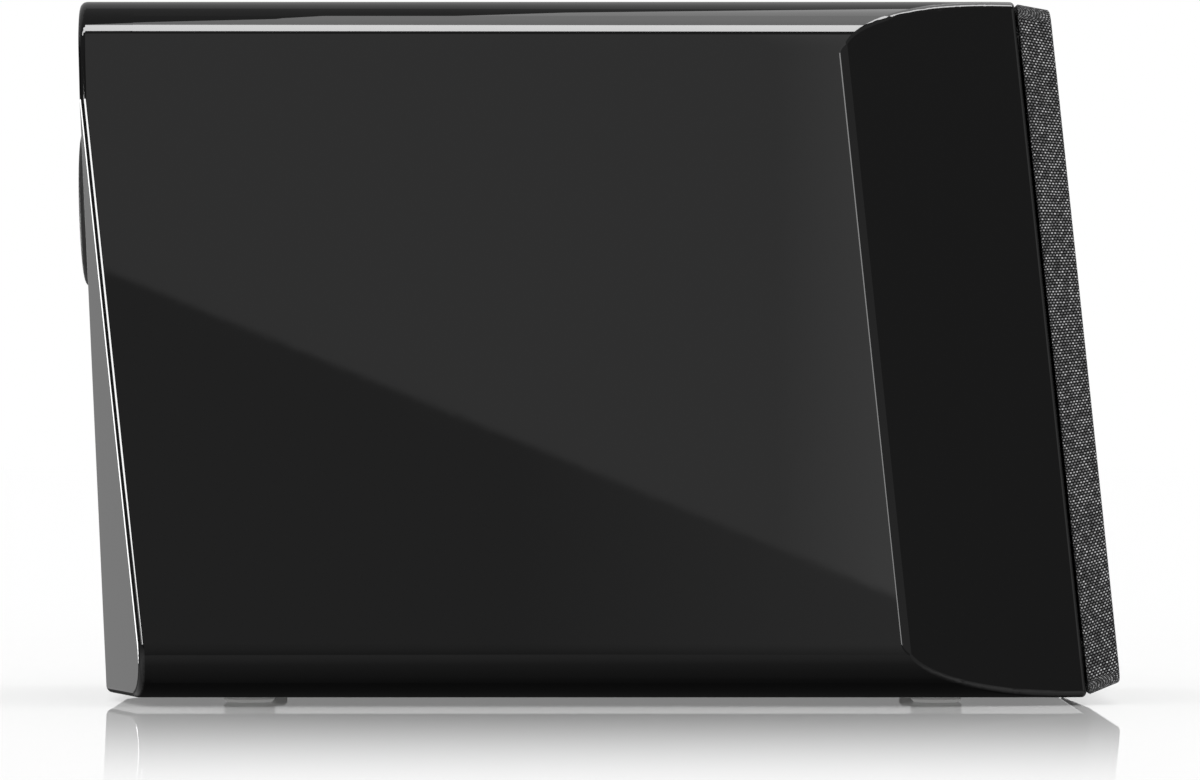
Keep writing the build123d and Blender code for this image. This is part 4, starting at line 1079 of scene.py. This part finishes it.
@dataclass
class Studio:
    """Pale floor, light cards, surround and camera.

    A span holds the first and last value that it reads, and what it gives for them.

    Attributes:
        eye: place of the camera, which looks along +X.
        lens: focal length in millimetres.
        sensor: width of the sensor in millimetres.
        view_end: distance at which the camera's view ends.
        dome: light that reaches matte surfaces from all round.
        floor_half: half the side of the floor.
        floor_tone: brightness of the matte floor.
        floor_ior: refractive index of the floor's polish.
        floor_slant: span from the reflection of that index to the share of polish.
        floor_roughness: roughness of the polish.
        mirror_reach: distance from the speaker at which the floor's polish ends.
        mirror_share: polish of the floor at the speaker.
        wall: x of the wide card behind the camera.
        wall_ends: heights of that card's lower and upper edge.
        wall_edge: span from y to the height of the slanting edge on it.
        wall_blur: half the width of that edge.
        wall_bright: span from y to the light above the edge.
        wall_dim: span from y to the light below the edge.
        wall_fade: span from height to the share of light left.
        ceiling: height of the cards overhead.
        near_room: light of the room on the camera's side, by the height of a direction between -1 and 1.
        far_room: light of the room on the far side.
        far_side: span from the x of a direction to the share of the far side.
        skyline: light added straight ahead of the camera.
        straight_ahead: span from the x of a direction to the share of the skyline.
        floor_glow: light of the floor, added to both sides of the camera's direction.
        beside: span from the y of a direction to the share of the floor's light.
    """

    eye: Triple = (-2.08, -0.00177, 0.086)
    lens: float = 221.8
    sensor: float = 36.0
    view_end: float = 100.0
    dome: float = 1.05
    floor_half: float = 6.0
    floor_tone: float = 0.95
    floor_ior: float = 1.5
    floor_slant: Span = (0.12, 1.0, 0.0, 1.0)
    floor_roughness: float = 0.02
    mirror_reach: float = 0.46
    mirror_share: float = 0.82
    wall: float = -2.6
    wall_ends: Pair = (-1.19, 2.92)
    wall_edge: Span = (-0.32, 0.8, -0.097, 0.3655)
    wall_blur: float = 0.003
    wall_bright: Span = (-0.11, -0.175, 0.67, 0.95)
    wall_dim: Span = (0.05, -0.2, 0.34, 0.53)
    wall_fade: Span = (-1.19, -0.1, 0.62, 1.0)
    ceiling: float = 1.4
    near_room: Stops = ((-1.0, 0.08), (-0.97, 0.13), (-0.83, 0.19), (-0.73, 0.22), (-0.62, 0.3),
                        (-0.495, 0.37), (-0.435, 0.38), (-0.42, 0.22), (0.0, 0.22), (1.0, 0.28))
    far_room: Stops = ((-1.0, 0.05), (-0.2, 0.01), (0.1, 0.04), (0.25, 0.45), (0.85, 0.5), (0.88, 0.28),
                       (1.0, 0.28))
    far_side: Span = (-0.15, 0.15, 0.0, 1.0)
    skyline: Stops = ((-0.2, 0.0), (-0.08, 0.32), (-0.02, 0.45), (0.0, 1.0), (0.1, 1.0), (0.22, 0.0))
    straight_ahead: Span = (0.88, 0.97, 0.0, 1.0)
    floor_glow: Stops = ((-1.0, 0.25), (-0.35, 0.42), (-0.14, 0.0))
    beside: Span = (0.15, 0.45, 0.0, 1.0)

    def build(self) -> None:
        """Makes the floor, the cards, the surround and the camera."""
        bpy.context.scene.view_settings.view_transform = "Standard"
        self.floor()
        self.wall_card()
        for card in self.cards():
            self.hang(card)
        self.surround()
        self.camera()

    def camera(self) -> None:
        """Sets up a level camera that looks along +X."""
        camera = bpy.data.cameras.new("side_camera")
        camera.lens = self.lens
        camera.sensor_width = self.sensor
        camera.clip_end = self.view_end
        stand = bpy.data.objects.new("side_camera", camera)
        stand.location = self.eye
        stand.rotation_euler = (pi / 2, 0.0, -pi / 2)
        bpy.context.scene.collection.objects.link(stand)
        bpy.context.scene.camera = stand

    def sheet(self, name: str, outline: tuple[Triple, ...], material: bpy.types.Material) -> bpy.types.Object:
        """A flat stage piece with one face.

        Args:
            name: name of the piece.
            outline: its corners in order.
            material: its material.

        Returns:
            The new stage piece.
        """
        mesh = bpy.data.meshes.new(name)
        mesh.from_pydata(outline, [], [list(range(len(outline)))])
        mesh.materials.append(material)
        piece = bpy.data.objects.new(name, mesh)
        bpy.context.scene.collection.objects.link(piece)
        log.info("put up %s", name)
        return piece

    def floor(self) -> None:
        """A matte white floor with a polish that fades with distance and at steep angles.

        The distance is the root of the squares of how far a place lies outside the speaker's plan along X and
        along Y. The share of polish is an eased fade over it, times the reflection of a clear coat.
        """
        material = bpy.data.materials.new("pale_floor")
        graph = Graph(material)
        spot = graph.add("SeparateXYZ", {"Vector": graph.add("TexCoord").outputs["Object"]})
        gaps = []
        for name, low, high in zip("XY", *CAD_BOX):
            past = graph.math("SUBTRACT", graph.math("ABSOLUTE", spot.outputs[name]), (high - low) / 2)
            gaps.append(graph.math("POWER", graph.math("MAXIMUM", past, 0.0), 2.0))
        away = graph.math("SQRT", graph.math("ADD", *gaps))
        fade = graph.span(away, 0.0, self.mirror_reach, self.mirror_share, 0.0, True)
        slant = graph.span(graph.add("Fresnel", {"IOR": self.floor_ior}).outputs["Fac"], *self.floor_slant)
        share = graph.math("MULTIPLY", fade, slant)
        matte = graph.add("BsdfDiffuse", {"Color": (*[self.floor_tone] * 3, 1.0)})
        polish = graph.add("BsdfGlossy", {"Color": WHITE, "Roughness": self.floor_roughness})
        both = graph.add("MixShader", {0: share, 1: matte.outputs["BSDF"], 2: polish.outputs["BSDF"]})
        graph.show(both.outputs["Shader"])
        r = self.floor_half
        piece = self.sheet("pale_floor", ((-r, -r, 0.0), (r, -r, 0.0), (r, r, 0.0), (-r, r, 0.0)), material)
        piece.visible_glossy = False
        piece.visible_diffuse = False

    def hang(self, card: Card) -> tuple[Graph, Socket]:
        """Puts up a card.

        Args:
            card: its name, outline and glow.

        Returns:
            The tree of its material and the input for its radiance.
        """
        material = bpy.data.materials.new(card.name)
        graph = Graph(material)
        light = graph.add("Emission", {"Strength": card.glow})
        graph.show(light.outputs["Emission"])
        piece = self.sheet(card.name, card.outline, material)
        piece.visible_camera = False
        piece.visible_diffuse = False
        piece.visible_shadow = False
        return graph, light.inputs["Strength"]

    def cards(self) -> tuple[Card, ...]:
        """The plain cards: beside the wall card, overhead, and ahead of and behind the speaker.

        Returns:
            The cards in the order in which they are put up.
        """
        wall, top = self.wall, self.ceiling
        ridge = (wall, -0.32), (wall, -0.72)
        tail = (-5.738, 2.14), (-4.178, 4.408)
        strip = ((-0.816, -1.6), (-0.21, -1.6), (-0.85, 1.6), (-1.11, 1.6))
        panel = ((-0.21, -1.6), (1.2, -1.6), (1.2, -0.34), (0.549, -0.092), (0.183, 0.042), (-0.331, 0.174),
                 (-0.578, 0.235))
        return (
            Card.upright("ridge_strip", *ridge, -0.12, 0.42, 6.0),
            Card.upright("ridge_fill", *ridge, 0.42, 2.92, 0.95),
            Card.upright("ridge_panel", (wall, -0.72), (wall, -1.72), -1.2, 2.9, 0.42),
            Card.level("overhead_strip", strip, top, 15.0),
            Card.level("overhead_panel", panel, top, 3.0),
            Card.upright("front_box", (-1.6, -1.38), (-0.649, -1.997), -0.3, 0.6, 0.7),
            Card.upright("front_panel", (-0.649, -1.997), (1.205, -1.72), -0.3, 0.6, 0.3),
            Card.upright("rear_shade", (wall, 0.8), (-1.966, 0.794), -0.6, 0.6, 0.1),
            Card.upright("tail_strip", *tail, -0.406, 0.3, 25.0),
            Card.upright("tail_foot", *tail, -0.7, -0.406, 2.9),
            Card.upright("tail_box", (2.018, 5.833), (5.03, 3.841), -0.86, 0.12, 10.0),
            Card.upright("tail_panel", (5.03, 3.841), (6.173, 1.822), -1.1, 0.6, 0.55),
        )

    def wall_card(self) -> None:
        """The wide card behind the camera, bright above a slanting edge and dim below it.

        The edge is a straight line of the card. A short eased step across it runs from the dim light to the
        bright one. Both get brighter toward the front and fade toward the lower end of the card.
        """
        near, far = self.wall_edge[:2]
        card = Card.upright("wall_card", (self.wall, near), (self.wall, far), *self.wall_ends, 1.0)
        graph, strength = self.hang(card)
        spot = graph.add("SeparateXYZ", {"Vector": graph.add("TexCoord").outputs["Object"]})
        along, height = spot.outputs["Y"], spot.outputs["Z"]
        above = graph.math("SUBTRACT", height, graph.span(along, *self.wall_edge))
        edge = graph.span(above, -self.wall_blur, self.wall_blur, 0.0, 1.0, True)
        bright = graph.span(along, *self.wall_bright)
        mixed = graph.between(edge, graph.span(along, *self.wall_dim), bright)
        graph.feed(graph.math("MULTIPLY", mixed, graph.span(height, *self.wall_fade)), strength)

    def surround(self) -> None:
        """White for the camera, an even dome for matte surfaces and a dim room for gloss.

        The room's light is a ramp over the height of a direction, one for the near side and one for the far
        side, with an eased change between them. A bright skyline straight ahead of the camera and the floor's
        light to both sides are added.
        """
        world = bpy.data.worlds.new("studio_surround")
        bpy.context.scene.world = world
        graph = Graph(world, "OutputWorld")
        way = graph.add("SeparateXYZ", {"Vector": graph.add("TexCoord").outputs["Generated"]})
        height = graph.span(way.outputs["Z"], -1.0, 1.0, 0.0, 1.0)
        near, far, skyline, below = (
            graph.ramp(height, *(((z + 1) / 2, (glow, glow, glow)) for z, glow in stops))
            for stops in (self.near_room, self.far_room, self.skyline, self.floor_glow)
        )
        room = graph.between(graph.span(way.outputs["X"], *self.far_side, True), near, far)
        ahead = graph.span(way.outputs["X"], *self.straight_ahead, True)
        room = graph.math("ADD", room, graph.math("MULTIPLY", ahead, skyline))
        beside = graph.span(graph.math("ABSOLUTE", way.outputs["Y"]), *self.beside, True)
        room = graph.math("ADD", room, graph.math("MULTIPLY", beside, below))
        path = graph.add("LightPath")
        matte = graph.between(path.outputs["Is Glossy Ray"], self.dome, room)
        seen = graph.between(path.outputs["Is Camera Ray"], matte, 1.0)
        light = graph.add("Background", {"Color": WHITE, "Strength": seen})
        graph.show(light.outputs["Background"])


def dress_nodes() -> None:
    """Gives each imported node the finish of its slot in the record."""
    PALETTE.update((finish.slot, finish.material()) for finish in (*FINISHES, WovenCloth()))
    slots = {part["node"]: part["material_slot"] for part in frame["record"]["subparts"]}
    for name, node in frame["nodes"].items():
        for place in node.material_slots:
            place.material = PALETTE[slots[name]]
        log.info("dressed %s in %s", name, slots[name])


def main() -> None:
    """Builds every part of the scene in order."""
    logging.basicConfig(level=logging.INFO, format="%(name)s: %(message)s")
    dress_nodes()
    for part in (Grille(), Damping(), Woofer(), Tweeter(), Studio()):
        part.build()
        log.info("finished %s", type(part).__name__)


if __name__ == "__main__":
    main()
